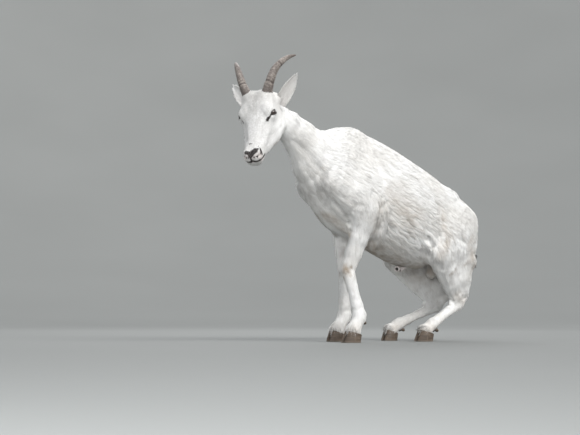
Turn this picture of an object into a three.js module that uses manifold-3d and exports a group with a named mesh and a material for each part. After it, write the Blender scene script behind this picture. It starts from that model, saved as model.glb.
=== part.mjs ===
// A life-size young wild sheep with a short white coat, standing with its hindquarters gathered
// under it and its head turned to its left. Millimetres, +Z up. The animal faces -X and its left
// side is towards -Y. The body is one smooth form, made of the muscles and bones below, and it is
// parted into head, neck, torso and legs by thin cuts.
import * as THREE from "three";
import { ParametricGeometry } from "three/addons/geometries/ParametricGeometry.js";
import { mergeVertices } from "three/addons/utils/BufferGeometryUtils.js";
import Module from "manifold-3d";

const wasm = await Module();
wasm.setup();

// Driving sizes
const GAP = 0.3;
const LEFT = -1;
const RIGHT = 1;
const SIDES = { left: LEFT, right: RIGHT };

const TRUNK_PITCH = 22;
const TRUNK_AT = [-306, 0, 600];
const HEAD_AT = [-771, -52, 902];
const HEAD_YAW = 43.2;
const HEAD_PITCH = 58.9;
const HEAD_ROLL = 8.3;

const ELBOW = { left: [-297, 100, 492], right: [-280, 100, 492] };
const KNEE = { left: [-352, 42, 273], right: [-299, 40, 276] };
const FORE_FETLOCK = { left: [-325, 80, 97], right: [-274, 80, 97] };
const FORE_PASTERN = [-32, 4, -50];
const HIP = [200, 80, 490];
const STIFLE = { left: [36, 122, 334], right: [14, 124, 330] };
const HOCK = { left: [192, 50, 146], right: [168, 50, 138] };
const HIND_FETLOCK = { left: [24, 88, 66], right: [2, 88, 66] };
const HIND_PASTERN = [-34, 3, -22];

const HOOF_TOE = 42;
const HOOF_HEEL = 27;
const CLAW_LENGTH = 34;
const CLAW_OUTER = 15.5;
const CLAW_INNER = 9;
const CLAW_SPREAD = 11.5;

const EYE_RADIUS = 16;
const EYE_AT = [77, 54, -38];
const EYE_OUT = [0.35, 0.8, 0.45];
const EYE_SLANT = 32;
const EYE_HALF_LENGTH = 14;
const EYE_HALF_HEIGHT = 6.8;

const HORN_BASE_DEEP = 25;
const HORN_BASE_WIDE = 19;
const HORN_RINGS = 9;
const HORN_COURSE = [
  [8, 35, -22],
  [-6, 41, -4],
  [-34, 53, 12],
  [-72, 66, 21],
  [-112, 82, 14],
  [-155, 101, -8],
  [-193, 118, -42],
];
const EAR_LENGTH = 123;
const EAR_WIDTH = 27;
const EAR_CUP = 15;
const EAR_THICKNESS = 4;

// Colours
const COAT = { color: 0xece9e4, roughness: 0.9, metalness: 0 };
const HORN = { color: 0x7a6a5c, roughness: 0.6, metalness: 0 };
const HOOF = { color: 0x54483d, roughness: 0.55, metalness: 0 };
const EYE = { color: 0x2a1a10, roughness: 0.15, metalness: 0 };
const SKIN = { color: 0xb9aaa2, roughness: 0.75, metalness: 0 };

const rad = THREE.MathUtils.degToRad;
const lerp = THREE.MathUtils.lerp;
const vec = (p) => new THREE.Vector3(...p);
const mirror = (p, side) => [p[0], p[1] * side, p[2]];
const add = (p, q) => [p[0] + q[0], p[1] + q[1], p[2] + q[2]];
const between = (p, q, t) => [lerp(p[0], q[0], t), lerp(p[1], q[1], t), lerp(p[2], q[2], t)];

// Distances. Each form is a function of x, y, z that is negative inside and grows outwards.
function blend(a, b, reach) {
  const near = Math.max(reach - Math.abs(a - b), 0) / reach;
  return Math.min(a, b) - near * near * reach * 0.25;
}

function ovalDistance(x, y, z, a, b, c) {
  const scaled = Math.hypot(x / a, y / b, z / c);
  const far = Math.hypot(x, y, z);
  return scaled < 1e-6 ? -Math.min(a, b, c) : far - far / scaled;
}

// A muscle or bone between two joints, oval in section: deep along the limb's plane, wide across it.
function strand([ax, ay, az, deepA, wideA], [bx, by, bz, deepB, wideB], across) {
  const axis = new THREE.Vector3(bx - ax, by - ay, bz - az);
  const length = axis.length();
  axis.divideScalar(length);
  const wide = across.clone().addScaledVector(axis, -across.dot(axis)).normalize();
  const deep = new THREE.Vector3().crossVectors(axis, wide);
  return (x, y, z) => {
    const px = x - ax;
    const py = y - ay;
    const pz = z - az;
    const along = px * axis.x + py * axis.y + pz * axis.z;
    const t = Math.min(Math.max(along / length, 0), 1);
    const over = along - t * length;
    const d = px * deep.x + py * deep.y + pz * deep.z;
    const w = px * wide.x + py * wide.y + pz * wide.z;
    const rd = deepA + (deepB - deepA) * t;
    const rw = wideA + (wideB - wideA) * t;
    return ovalDistance(d, w, over, rd, rw, Math.min(rd, rw));
  };
}

function chain(stations, across, reach = 8) {
  const links = stations.slice(1).map((to, i) => strand(stations[i], to, across));
  return (x, y, z) => links.reduce((least, link) => blend(least, link(x, y, z), reach), Infinity);
}

function blob([cx, cy, cz], [a, b, c]) {
  return (x, y, z) => ovalDistance(x - cx, y - cy, z - cz, a, b, c);
}

// A long body whose sections, square to its axis, run from top to bottom about a widest level.
// Each station is [place along the axis, top, bottom, half width, widest level].
function longBody(stations, frontCap, rearCap, fullness) {
  const places = stations.map((s) => s[0]);
  const values = stations.flatMap((s) => s.slice(1));
  const curve = new THREE.CubicInterpolant(places, values, 4);
  const first = places[0];
  const last = places[places.length - 1];
  return (t, w, h) => {
    const place = Math.min(Math.max(t, first), last);
    const [top, bottom, half, level] = curve.evaluate(place);
    const rise = h > level ? top - level : level - bottom;
    const up = h - level;
    const over = t - place;
    const section = (Math.abs(up / rise) ** fullness + Math.abs(w / half) ** fullness) ** (1 / fullness);
    const scaled = Math.hypot(section, over / (over < 0 ? frontCap : rearCap));
    const far = Math.hypot(up, w, over);
    return scaled < 1e-6 ? -Math.min(rise, half) : far - far / scaled;
  };
}

// Frames: the trunk's axis runs back and down, and the head's own axes are nose, left and crown.
const trunkAxis = new THREE.Vector3(Math.cos(rad(TRUNK_PITCH)), 0, -Math.sin(rad(TRUNK_PITCH)));
const trunkUp = new THREE.Vector3(Math.sin(rad(TRUNK_PITCH)), 0, Math.cos(rad(TRUNK_PITCH)));
const trunkAt = vec(TRUNK_AT);
const trunkPoint = (t, w, h) =>
  trunkAt.clone().addScaledVector(trunkAxis, t).addScaledVector(trunkUp, h).setY(w);

const headTurn = new THREE.Matrix4()
  .makeRotationZ(rad(HEAD_YAW))
  .multiply(new THREE.Matrix4().makeRotationY(rad(-HEAD_PITCH)))
  .multiply(new THREE.Matrix4().makeRotationX(rad(-HEAD_ROLL)));
const headFrame = new THREE.Matrix4()
  .makeTranslation(...HEAD_AT)
  .multiply(headTurn)
  .multiply(new THREE.Matrix4().makeBasis(vec([-1, 0, 0]), vec([0, -1, 0]), vec([0, 0, 1])));
const headInverse = headFrame.clone().invert();
const headPoint = (p) => vec(p).applyMatrix4(headFrame);
const headList = (p) => headPoint(p).toArray();

// Trunk
const ACROSS = vec([0, 1, 0]);
const barrel = longBody(
  [
    [-150, 166, -124, 58, -10],
    [-90, 194, -176, 84, -15],
    [-20, 205, -200, 104, -20],
    [70, 208, -200, 124, -20],
    [150, 206, -197, 139, -18],
    [230, 202, -200, 149, -22],
    [300, 197, -200, 151, -22],
    [370, 188, -190, 143, -15],
    [430, 172, -166, 125, 0],
    [480, 164, -110, 110, 20],
    [530, 152, -55, 93, 40],
    [566, 138, -10, 76, 58],
  ],
  42,
  32,
  2.15,
);

function trunk(x, y, z) {
  const px = x - trunkAt.x;
  const pz = z - trunkAt.z;
  const t = px * trunkAxis.x + pz * trunkAxis.z;
  const h = px * trunkUp.x + pz * trunkUp.z;
  return barrel(t, y, h);
}

const neckSweep = chain(
  [
    [-395, 0, 636, 140, 84],
    [-476, 0, 697, 107, 72],
    [-546, 0, 762, 69, 57],
    [-597, 0, 800, 57, 49],
    [-644, 0, 820, 53, 46],
    [-688, -4, 826, 51, 43],
  ],
  ACROSS,
  14,
);

const shoulders = Object.values(SIDES).map((s) => {
  const blade = chain(
    [
      [-318, 34 * s, 772, 36, 22],
      [-376, 62 * s, 682, 60, 36],
      [-446, 84 * s, 592, 47, 36],
    ],
    ACROSS,
  );
  const upperArm = chain(
    [
      [-446, 86 * s, 588, 46, 34],
      [-370, 90 * s, 540, 56, 36],
      [-302, 94 * s, 498, 50, 35],
    ],
    ACROSS,
  );
  const triceps = blob([-322, 88 * s, 570], [60, 34, 76]);
  return (x, y, z) => blend(blend(blade(x, y, z), upperArm(x, y, z), 30), triceps(x, y, z), 46);
});

const haunches = Object.entries(SIDES).map(([name, s]) => {
  const stifle = mirror(STIFLE[name], s);
  const hock = mirror(HOCK[name], s);
  const thigh = chain(
    [
      [HIP[0], 72 * s, HIP[2], 80, 44],
      [136, 90 * s, 436, 98, 46],
      [78, 106 * s, 378, 78, 42],
      [stifle[0], stifle[1], stifle[2], 54, 37],
    ],
    ACROSS,
    20,
  );
  const hamstring = chain(
    [
      [238, 50 * s, 482, 46, 38],
      [224, 62 * s, 396, 52, 40],
      [lerp(hock[0] + 22, 218, 0.5), 66 * s, 318, 52, 36],
      [hock[0] + 15, 60 * s, 244, 38, 26],
      [hock[0] + 20, 52 * s, 196, 24, 17],
    ],
    ACROSS,
    16,
  );
  const calf = chain(
    [
      [140, 88 * s, 340, 76, 40],
      [hock[0] - 26, 70 * s, 246, 54, 31],
      [hock[0] + 6, 56 * s, 200, 34, 23],
    ],
    ACROSS,
    16,
  );
  const hipBone = blob([128, 72 * s, 572], [34, 26, 24]);
  return (x, y, z) => {
    const mass = blend(blend(thigh(x, y, z), hamstring(x, y, z), 40), calf(x, y, z), 30);
    return blend(mass, hipBone(x, y, z), 40);
  };
});

// Head, in its own axes: x to the nose, y to the left, z to the crown
const skull = longBody(
  [
    [-34, -34, -118, 42, -70],
    [-8, -6, -132, 53, -62],
    [25, 7, -144, 60, -55],
    [60, 5, -158, 61, -50],
    [95, -6, -162, 55, -55],
    [130, -15, -154, 48, -60],
    [165, -22, -138, 43, -62],
    [200, -27, -121, 39, -62],
    [232, -31, -107, 36, -62],
    [256, -38, -99, 31, -62],
  ],
  24,
  15,
  2.25,
);
const HEAD_SIDE = vec([0, 1, 0]);
const headForms = Object.values(SIDES).flatMap((s) => [
  [blob([EYE_AT[0], (EYE_AT[1] - 4) * s, EYE_AT[2]], [26, 24, 23]), 16],
  [blob([EYE_AT[0] - 10, (EYE_AT[1] - 12) * s, EYE_AT[2] + 16], [30, 18, 16]), 16],
  [blob([88, 41 * s, -112], [48, 18, 42]), 26],
  [blob([14, 33 * s, -15], [28, 24, 23]), 26],
  [blob([-12, 50 * s, -62], [22, 18, 22]), 24],
  [chain([[86, 46 * s, -52, 9, 8], [150, 34 * s, -62, 8, 7], [196, 30 * s, -64, 7, 6]], HEAD_SIDE), 14],
  [blob([246, 14 * s, -58], [20, 17, 17]), 12],
  [blob([240, 18 * s, -40], [15, 11, 10]), 10],
]);
headForms.push([blob([240, 0, -88], [24, 19, 15]), 10]);

function head(x, y, z) {
  const e = headInverse.elements;
  const hx = e[0] * x + e[4] * y + e[8] * z + e[12];
  const hy = e[1] * x + e[5] * y + e[9] * z + e[13];
  const hz = e[2] * x + e[6] * y + e[10] * z + e[14];
  return headForms.reduce((least, [form, reach]) => blend(least, form(hx, hy, hz), reach), skull(hx, hy, hz));
}

// Legs
const spaced = (from, to, rows) => rows.map(([t, deep, wide]) => [...between(from, to, t), deep, wide]);

function forelegJoints(name) {
  const s = SIDES[name];
  const fetlock = mirror(FORE_FETLOCK[name], s);
  return {
    elbow: mirror(ELBOW[name], s),
    knee: mirror(KNEE[name], s),
    fetlock,
    coronet: add(fetlock, mirror(FORE_PASTERN, s)),
  };
}

function hindlegJoints(name) {
  const s = SIDES[name];
  const fetlock = mirror(HIND_FETLOCK[name], s);
  return {
    hip: mirror(HIP, s),
    stifle: mirror(STIFLE[name], s),
    hock: mirror(HOCK[name], s),
    fetlock,
    coronet: add(fetlock, mirror(HIND_PASTERN, s)),
  };
}

function foreleg(name) {
  const { elbow, knee, fetlock, coronet } = forelegJoints(name);
  const forearm = spaced(elbow, knee, [
    [0, 51, 34],
    [0.2, 48, 32],
    [0.5, 40, 28],
    [0.7, 37, 26],
    [0.86, 33, 25],
    [1, 28, 24],
  ]);
  const cannon = spaced(knee, fetlock, [
    [0.16, 24, 21],
    [0.34, 22, 20],
    [0.75, 23, 21],
    [1, 28, 25],
  ]);
  const pastern = spaced(fetlock, coronet, [
    [0.5, 22, 22],
    [0.9, 28, 27],
  ]);
  const kneeCap = blob(add(knee, [-7, 0, 4]), [22, 20, 26]);
  const whole = chain([...forearm, ...cannon, ...pastern], ACROSS, 10);
  return (x, y, z) => blend(whole(x, y, z), kneeCap(x, y, z), 12);
}

function hindleg(name) {
  const { stifle, hock, fetlock, coronet } = hindlegJoints(name);
  const s = SIDES[name];
  const gaskin = spaced(stifle, hock, [
    [0, 55, 38],
    [0.3, 54, 36],
    [0.6, 42, 30],
    [0.85, 31, 24],
    [1, 29, 22],
  ]);
  const tendon = chain(
    [
      [hock[0] + 26, hock[1] + 9 * s, hock[2] + 92, 32, 22],
      [hock[0] + 34, hock[1] + 3 * s, hock[2] + 60, 19, 14],
      [hock[0] + 42, hock[1] - 3 * s, hock[2] + 32, 17, 14],
      [...hock, 24, 18],
    ],
    ACROSS,
    8,
  );
  const cannon = spaced(hock, fetlock, [
    [0.16, 23, 18],
    [0.36, 20, 17.5],
    [0.75, 18.5, 18],
    [1, 24, 22],
  ]);
  const pastern = spaced(fetlock, coronet, [
    [0.5, 19, 20],
    [0.9, 26, 26],
  ]);
  const whole = chain([...gaskin, ...cannon, ...pastern], ACROSS, 10);
  return (x, y, z) => blend(whole(x, y, z), tendon(x, y, z), 12);
}

const legForms = {};
for (const name of Object.keys(SIDES)) {
  legForms[`fore_${name}`] = foreleg(name);
  legForms[`hind_${name}`] = hindleg(name);
}

// The whole body, with only the legs that are asked for, so that legs side by side stay apart
function body(legs) {
  const forms = legs.map((name) => legForms[name]);
  return (x, y, z) => {
    let least = blend(trunk(x, y, z), neckSweep(x, y, z), 60);
    for (const shoulder of shoulders) least = blend(least, shoulder(x, y, z), 54);
    for (const haunch of haunches) least = blend(least, haunch(x, y, z), 44);
    least = blend(least, head(x, y, z), 18);
    for (const leg of forms) least = blend(least, leg(x, y, z), 22);
    return least;
  };
}

// Surfaces: rays go out from an axis inside the body, to where the form ends. The rays of the two
// end caps turn from square to the axis to straight along it.
function surfaceAlong(form, points, up, { rings, sides, caps, reach, inset = 0 }) {
  const course = new THREE.CatmullRomCurve3(points.map(vec), false, "centripetal");
  const rows = rings + 2 * caps;
  const eye = new THREE.Vector3();
  const ray = new THREE.Vector3();
  const outward = (from, way) => {
    let near = 0;
    let far = 0;
    for (let step = 0; step < 90 && far < reach; step += 1) {
      const depth = form(from.x + way.x * far, from.y + way.y * far, from.z + way.z * far) + inset;
      if (depth >= 0) break;
      near = far;
      far = Math.min(far + Math.max(-depth * 0.55, 0.8), reach);
    }
    for (let i = 0; i < 12; i += 1) {
      const middle = (near + far) / 2;
      const depth = form(from.x + way.x * middle, from.y + way.y * middle, from.z + way.z * middle) + inset;
      if (depth < 0) near = middle;
      else far = middle;
    }
    return near;
  };
  const skin = (u, v, target) => {
    const row = Math.round(v * rows);
    const capStart = Math.min(row - caps, 0) / caps;
    const capEnd = Math.max(row - caps - rings, 0) / caps;
    const place = THREE.MathUtils.clamp((row - caps) / rings, 0, 1);
    const along = course.getTangentAt(place);
    course.getPointAt(place, eye);
    const over = up.clone().addScaledVector(along, -up.dot(along)).normalize();
    const across = new THREE.Vector3().crossVectors(along, over);
    const lean = (capStart + capEnd) * (Math.PI / 2);
    const turn = u * 2 * Math.PI;
    ray
      .copy(over)
      .multiplyScalar(Math.cos(turn))
      .addScaledVector(across, Math.sin(turn))
      .multiplyScalar(Math.cos(lean))
      .addScaledVector(along, Math.sin(lean));
    if (Math.abs(capStart + capEnd) > 1 - 1e-9) ray.copy(along).multiplyScalar(Math.sign(lean));
    target.copy(eye).addScaledVector(ray, outward(eye, ray));
  };
  return solid(new ParametricGeometry(skin, sides, rows));
}

// Solids
function solid(geometry, matrix) {
  const bare = new THREE.BufferGeometry().setAttribute("position", geometry.getAttribute("position").clone());
  if (geometry.index) bare.setIndex(geometry.index);
  if (matrix) bare.applyMatrix4(matrix);
  const merged = mergeVertices(bare, 1e-3);
  const index = merged.index.array;
  const place = merged.attributes.position.array;
  const triangles = [];
  let volume = 0;
  for (let i = 0; i < index.length; i += 3) {
    const [a, b, c] = [index[i], index[i + 1], index[i + 2]];
    if (a === b || b === c || c === a) continue;
    triangles.push(a, b, c);
    const [p, q, r] = [a, b, c].map((n) => new THREE.Vector3().fromArray(place, 3 * n));
    volume += p.dot(q.cross(r));
  }
  if (volume < 0) triangles.reverse();
  return new wasm.Manifold(
    new wasm.Mesh({ numProp: 3, vertProperties: new Float32Array(place), triVerts: new Uint32Array(triangles) }),
  );
}

const largest = (made) => made.decompose().sort((a, b) => b.volume() - a.volume())[0];

// Keeps the side of a plane that its normal points to, half a gap clear of the plane
const keepBeyond = (made, point, normal) => {
  const n = vec(normal).normalize();
  return made.trimByPlane(n.toArray(), n.dot(vec(point)) + GAP / 2);
};
const keepBefore = (made, point, normal) => keepBeyond(made, point, vec(normal).negate().toArray());

// The plane that halves the bend of a limb at a joint
function jointNormal(before, joint, after) {
  const inward = vec(joint).sub(vec(before)).normalize();
  const onward = vec(after).sub(vec(joint)).normalize();
  return inward.add(onward).normalize().toArray();
}

// The faces that shut off one leg's root: a slanting cut that passes through the point `at` and
// rises outwards by `lean`, and a front and a rear face that may be raked
function rootFaces({ at, lean, front, rear, rake }, side) {
  const slope = rad(lean);
  return [
    { at: [0, at[0] * side, at[1]], normal: [0, side * Math.sin(slope), -Math.cos(slope)] },
    { at: [front, 0, at[1]], normal: [Math.cos(rad(rake)), 0, Math.sin(rad(rake))] },
    { at: [rear, 0, at[1]], normal: [-1, 0, 0] },
  ];
}

const heightOver = ({ at, normal }) => {
  const n = vec(normal).normalize();
  const level = n.dot(vec(at));
  return (x, y, z) => n.x * x + n.y * y + n.z * z - level;
};

// A form that goes no more than a little beyond some faces, and a form with a faced block left out
const CUT_MARGIN = 24;
function within(form, faces) {
  const heights = faces.map(heightOver);
  return (x, y, z) => Math.max(form(x, y, z), ...heights.map((height) => -height(x, y, z) - CUT_MARGIN));
}
function without(form, faces) {
  const heights = faces.map(heightOver);
  return (x, y, z) =>
    Math.max(form(x, y, z), Math.min(...heights.map((height) => height(x, y, z))) - CUT_MARGIN);
}

function blockOf(faces) {
  let block = solid(new THREE.BoxGeometry(4000, 4000, 4000));
  for (const { at, normal } of faces) {
    const n = vec(normal).normalize();
    block = block.trimByPlane(n.toArray(), n.dot(vec(at)) - GAP / 2);
  }
  return block;
}

const FORE_ROOT = { at: [50, 410], lean: 58, front: -410, rear: -226, rake: -18 };
const HIND_ROOT = { at: [62, 288], lean: 56, front: -28, rear: 420, rake: 24 };

const parts = [];
const put = (name, made, look) => parts.push({ name, made: largest(made), look });

// Head and neck
const NECK_CUT = { at: [-654, 0, 800], normal: [-0.9, -0.12, 0.42] };
const TORSO_CUT = { at: [-500, 0, 690], normal: [-0.8, 0, 0.6] };
const TORSO_CUT_BACK = { at: TORSO_CUT.at, normal: vec(TORSO_CUT.normal).negate().toArray() };
const NECK_CUT_BACK = { at: NECK_CUT.at, normal: vec(NECK_CUT.normal).negate().toArray() };
const wholeBody = body(["fore_left", "fore_right", "hind_left", "hind_right"]);
const bare = body([]);

const headAxis = [-6, 40, 90, 140, 190, 238].map((x) => headList([x, 0, lerp(-72, -64, x / 238)]));
const headSize = { rings: 28, sides: 34, caps: 5, reach: 240 };
const crown = headPoint([0, 0, 1]).sub(headPoint([0, 0, 0]));
const headSolid = (inset) =>
  keepBeyond(
    surfaceAlong(within(bare, [NECK_CUT]), headAxis, crown, { ...headSize, inset }),
    NECK_CUT.at,
    NECK_CUT.normal,
  );

function eyeFrame(side) {
  const out = vec(mirror(EYE_OUT, side)).normalize();
  const along = vec([-Math.cos(rad(EYE_SLANT)), side * 0.12, -Math.sin(rad(EYE_SLANT))]);
  along.addScaledVector(out, -along.dot(out)).normalize();
  const over = new THREE.Vector3().crossVectors(out, along).multiplyScalar(side);
  const local = new THREE.Matrix4().makeBasis(along, over, out);
  local.setPosition(EYE_AT[0], EYE_AT[1] * side, EYE_AT[2]);
  return new THREE.Matrix4().multiplyMatrices(headFrame, local);
}

function almond(grow) {
  const shape = new THREE.Shape();
  const long = EYE_HALF_LENGTH + grow;
  const high = EYE_HALF_HEIGHT + grow;
  shape.moveTo(-long, 0);
  shape.quadraticCurveTo(-long * 0.25, high * 2.1, long, 0);
  shape.quadraticCurveTo(long * 0.1, -high * 1.9, -long, 0);
  return shape;
}

// The rim of the lids lies on a ball a little larger than the eye
function lidRim(frame) {
  const outline = almond(0.8).getSpacedPoints(18).slice(0, -1);
  const ball = EYE_RADIUS + 2.2;
  const rim = outline.map((p) => new THREE.Vector3(p.x, p.y, Math.sqrt(ball ** 2 - p.x ** 2 - p.y ** 2)));
  const course = new THREE.CatmullRomCurve3(rim, true);
  const lid = new THREE.Shape().absellipse(0, 0, 2.1, 2.1, 0, 2 * Math.PI);
  const tube = new THREE.ExtrudeGeometry(lid, { steps: 22, curveSegments: 3, extrudePath: course });
  return solid(tube, frame);
}

function headNode() {
  let made = headSolid(0);
  for (const side of Object.values(SIDES)) {
    const frame = eyeFrame(side);
    const opening = new THREE.ExtrudeGeometry(almond(0), { depth: 24, bevelEnabled: false, curveSegments: 7 });
    const socket = new THREE.SphereGeometry(EYE_RADIUS + GAP, 16, 9);
    made = made
      .add(lidRim(frame))
      .subtract(solid(opening, frame))
      .subtract(solid(socket, frame));
    const nostril = new THREE.SphereGeometry(1, 12, 8);
    const nostrilPlace = new THREE.Matrix4()
      .multiply(headFrame)
      .multiply(new THREE.Matrix4().makeTranslation(258, 15 * side, -46))
      .multiply(new THREE.Matrix4().makeRotationY(rad(38)))
      .multiply(new THREE.Matrix4().makeRotationX(rad(28 * side)))
      .multiply(new THREE.Matrix4().makeScale(11, 5, 6.5));
    made = made.subtract(solid(nostril, nostrilPlace));
  }
  const mouth = mouthBlade().subtract(headSolid(3.2));
  return made.subtract(mouth);
}

// The line of the mouth: a thin curved blade across the muzzle, seen from the side
function mouthBlade() {
  const top = [
    [288, -66],
    [262, -72],
    [236, -72],
    [214, -66],
    [204, -62],
  ];
  const line = new THREE.SplineCurve(top.map(([x, z]) => new THREE.Vector2(x, z))).getPoints(6);
  const thick = 1.1;
  const outline = [
    ...line.map((p) => new THREE.Vector2(p.x, p.y + thick)),
    ...line.reverse().map((p) => new THREE.Vector2(p.x, p.y - thick)),
  ];
  const blade = new THREE.ExtrudeGeometry(new THREE.Shape(outline), { depth: 140, bevelEnabled: false });
  const place = new THREE.Matrix4()
    .multiply(headFrame)
    .multiply(new THREE.Matrix4().makeTranslation(0, 70, 0))
    .multiply(new THREE.Matrix4().makeRotationX(rad(90)));
  return solid(blade, place);
}

const headSkinned = headSolid(-GAP);

function eyeNode(side) {
  return solid(new THREE.SphereGeometry(EYE_RADIUS, 16, 9), eyeFrame(side));
}

// Horns: a curved cone, oval in section, with low rings that fade towards the tip
function hornNode(side) {
  const course = new THREE.CatmullRomCurve3(
    HORN_COURSE.map((p) => headPoint(mirror(p, side))),
    false,
    "centripetal",
  );
  const rows = 23;
  const crownWay = crown.clone();
  const wall = (u, v, target) => {
    const row = Math.round(v * (rows + 2));
    const t = THREE.MathUtils.clamp((row - 1) / rows, 0, 1);
    const open = row === 0 || row === rows + 2 ? 0 : 1;
    const along = course.getTangentAt(t);
    const deep = crownWay.clone().addScaledVector(along, -crownWay.dot(along)).normalize();
    const wide = new THREE.Vector3().crossVectors(along, deep);
    const taper = (1 - t) ** 0.72 * 0.93 + 0.07;
    const ring = 1 + 0.035 * Math.sin(t ** 0.85 * HORN_RINGS * 2 * Math.PI) * (1 - t) ** 0.7;
    const turn = u * 2 * Math.PI;
    target
      .copy(course.getPointAt(t))
      .addScaledVector(deep, Math.cos(turn) * HORN_BASE_DEEP * taper * ring * open)
      .addScaledVector(wide, Math.sin(turn) * HORN_BASE_WIDE * taper * ring * open);
  };
  return solid(new ParametricGeometry(wall, 10, rows + 2)).subtract(headSkinned);
}

// Ears: a cupped leaf, rolled at its root. Its cup opens along `open`.
function earNode(side, root, tip, open) {
  const from = headPoint(mirror(root, side));
  const axis = headPoint(mirror(tip, side)).sub(from).normalize();
  const face = vec(mirror(open, side)).transformDirection(headFrame);
  face.addScaledVector(axis, -face.dot(axis)).normalize();
  const edge = new THREE.Vector3().crossVectors(axis, face);
  const rows = 11;
  const leaf = (u, v, target) => {
    const row = Math.round(v * (rows + 2));
    const t = THREE.MathUtils.clamp((row - 1) / rows, 0, 1);
    const closed = row === 0 || row === rows + 2 ? 0 : 1;
    const half = EAR_WIDTH * Math.sin(Math.PI * (0.2 + 0.8 * t)) ** 0.62 * (1 - 0.28 * t) + 0.6;
    const cup = EAR_CUP * (1 - t) ** 0.55;
    const turn = u * 2 * Math.PI;
    const inside = Math.sin(turn) > 0 ? 0 : 1;
    const bow = Math.sin(turn) ** 2;
    const deep = -cup * bow - EAR_THICKNESS * (1 - 0.5 * t) * Math.abs(Math.sin(turn)) * inside;
    target
      .copy(from)
      .addScaledVector(axis, (t - 0.12) * EAR_LENGTH)
      .addScaledVector(edge, Math.cos(turn) * half * closed)
      .addScaledVector(face, closed ? deep + cup * 0.6 : cup * -0.4 - EAR_THICKNESS * 0.3)
      .addScaledVector(face, 7 * t * t);
  };
  return solid(new ParametricGeometry(leaf, 14, rows + 2)).subtract(headSkinned);
}

put("head", headNode(), COAT);
// In the head's own axes the left is towards +y
for (const [name, side] of Object.entries(SIDES)) {
  put(`eye_${name}`, eyeNode(-side), EYE);
  put(`horn_${name}`, hornNode(-side), HORN);
}
put("ear_left", earNode(LEFT * -1, [-13, 68, -78], [-97, 140, -22], [0.2, 0.75, 0.6]), COAT);
put("ear_right", earNode(RIGHT * -1, [-13, 60, -64], [-98, 120, -66], [0.15, 0.45, 0.85]), COAT);

const neckAxis = [
  [-492, 0, 688],
  [-550, 0, 736],
  [-604, 0, 776],
  [-654, 0, 801],
];
const UP = vec([0, 0, 1]);
const neckSize = { rings: 9, sides: 26, caps: 3, reach: 260 };
const neckWrap = surfaceAlong(within(bare, [NECK_CUT_BACK, TORSO_CUT]), neckAxis, UP, neckSize);
put(
  "neck",
  keepBeyond(keepBefore(neckWrap, NECK_CUT.at, NECK_CUT.normal), TORSO_CUT.at, TORSO_CUT.normal),
  COAT,
);

// Torso and tail
const torsoAxis = [-150, 0, 200, 400, 480, 552].map((t) =>
  trunkPoint(t, 0, t > 400 ? lerp(0, 64, (t - 400) / 152) : 0).toArray(),
);
const rootsOf = (root) => Object.values(SIDES).map((side) => rootFaces(root, side));
const roots = [...rootsOf(FORE_ROOT), ...rootsOf(HIND_ROOT)];
const torsoForm = roots.reduce((form, faces) => without(form, faces), wholeBody);
const torsoSize = { rings: 28, sides: 34, caps: 6, reach: 330 };
const torsoWrap = surfaceAlong(within(torsoForm, [TORSO_CUT_BACK]), torsoAxis, trunkUp, torsoSize);
let torso = keepBefore(torsoWrap, TORSO_CUT.at, TORSO_CUT.normal);
for (const faces of roots) torso = torso.subtract(blockOf(faces));
put("torso", torso, COAT);
const torsoSkinned = surfaceAlong(torsoForm, torsoAxis, trunkUp, { ...torsoSize, inset: -GAP });

const tailForm = chain(
  [
    [248, 0, 508, 20, 20],
    [284, 0, 482, 16, 20],
    [292, 0, 448, 12, 15],
    [286, 0, 412, 7, 8],
  ],
  ACROSS,
  8,
);
const tailAxis = [
  [256, 0, 503],
  [284, 0, 481],
  [291, 0, 448],
  [287, 0, 416],
];
put(
  "tail",
  surfaceAlong(tailForm, tailAxis, vec([1, 0, 0]), { rings: 8, sides: 10, caps: 2, reach: 50 })
    .subtract(torsoSkinned),
  COAT,
);

const scrotumForm = chain(
  [
    [104, 0, 322, 16, 16],
    [101, 0, 292, 19, 20],
    [98, 0, 266, 22, 25],
  ],
  ACROSS,
  10,
);
put(
  "scrotum",
  surfaceAlong(scrotumForm, [[104, 0, 318], [101, 0, 292], [98, 0, 268]], vec([1, 0, 0]), {
    rings: 6,
    sides: 12,
    caps: 3,
    reach: 60,
  }).subtract(torsoSkinned),
  SKIN,
);

// The sheath under the belly: a short open tube with a thick rim, pointing forward
const sheathProfile = [
  [0, -26],
  [12, -26],
  [11, -4],
  [11.5, 2],
  [10, 4.5],
  [8, 3],
  [7, -6],
  [0, -8],
].map(([r, l]) => new THREE.Vector2(r, l));
const sheathPlace = new THREE.Matrix4()
  .makeTranslation(-62, 0, 279)
  .multiply(new THREE.Matrix4().makeRotationY(rad(-118)));
put("sheath", solid(new THREE.LatheGeometry(sheathProfile, 16).rotateX(Math.PI / 2), sheathPlace)
  .subtract(torsoSkinned), SKIN);

// Legs: each piece is wrapped on one or two courses inside it, and ends at its joints' faces
function legPiece(form, courses, size, faces, up = vec([-1, 0, 0.01])) {
  const held = within(form, faces);
  const made = courses.map((course) => surfaceAlong(held, course, up, size));
  const whole = made.reduce((sum, next) => sum.add(next));
  return faces.reduce((piece, { at, normal }) => keepBeyond(piece, at, normal), whole);
}
const turned = ({ at, normal }) => ({ at, normal: vec(normal).negate().toArray() });

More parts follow.
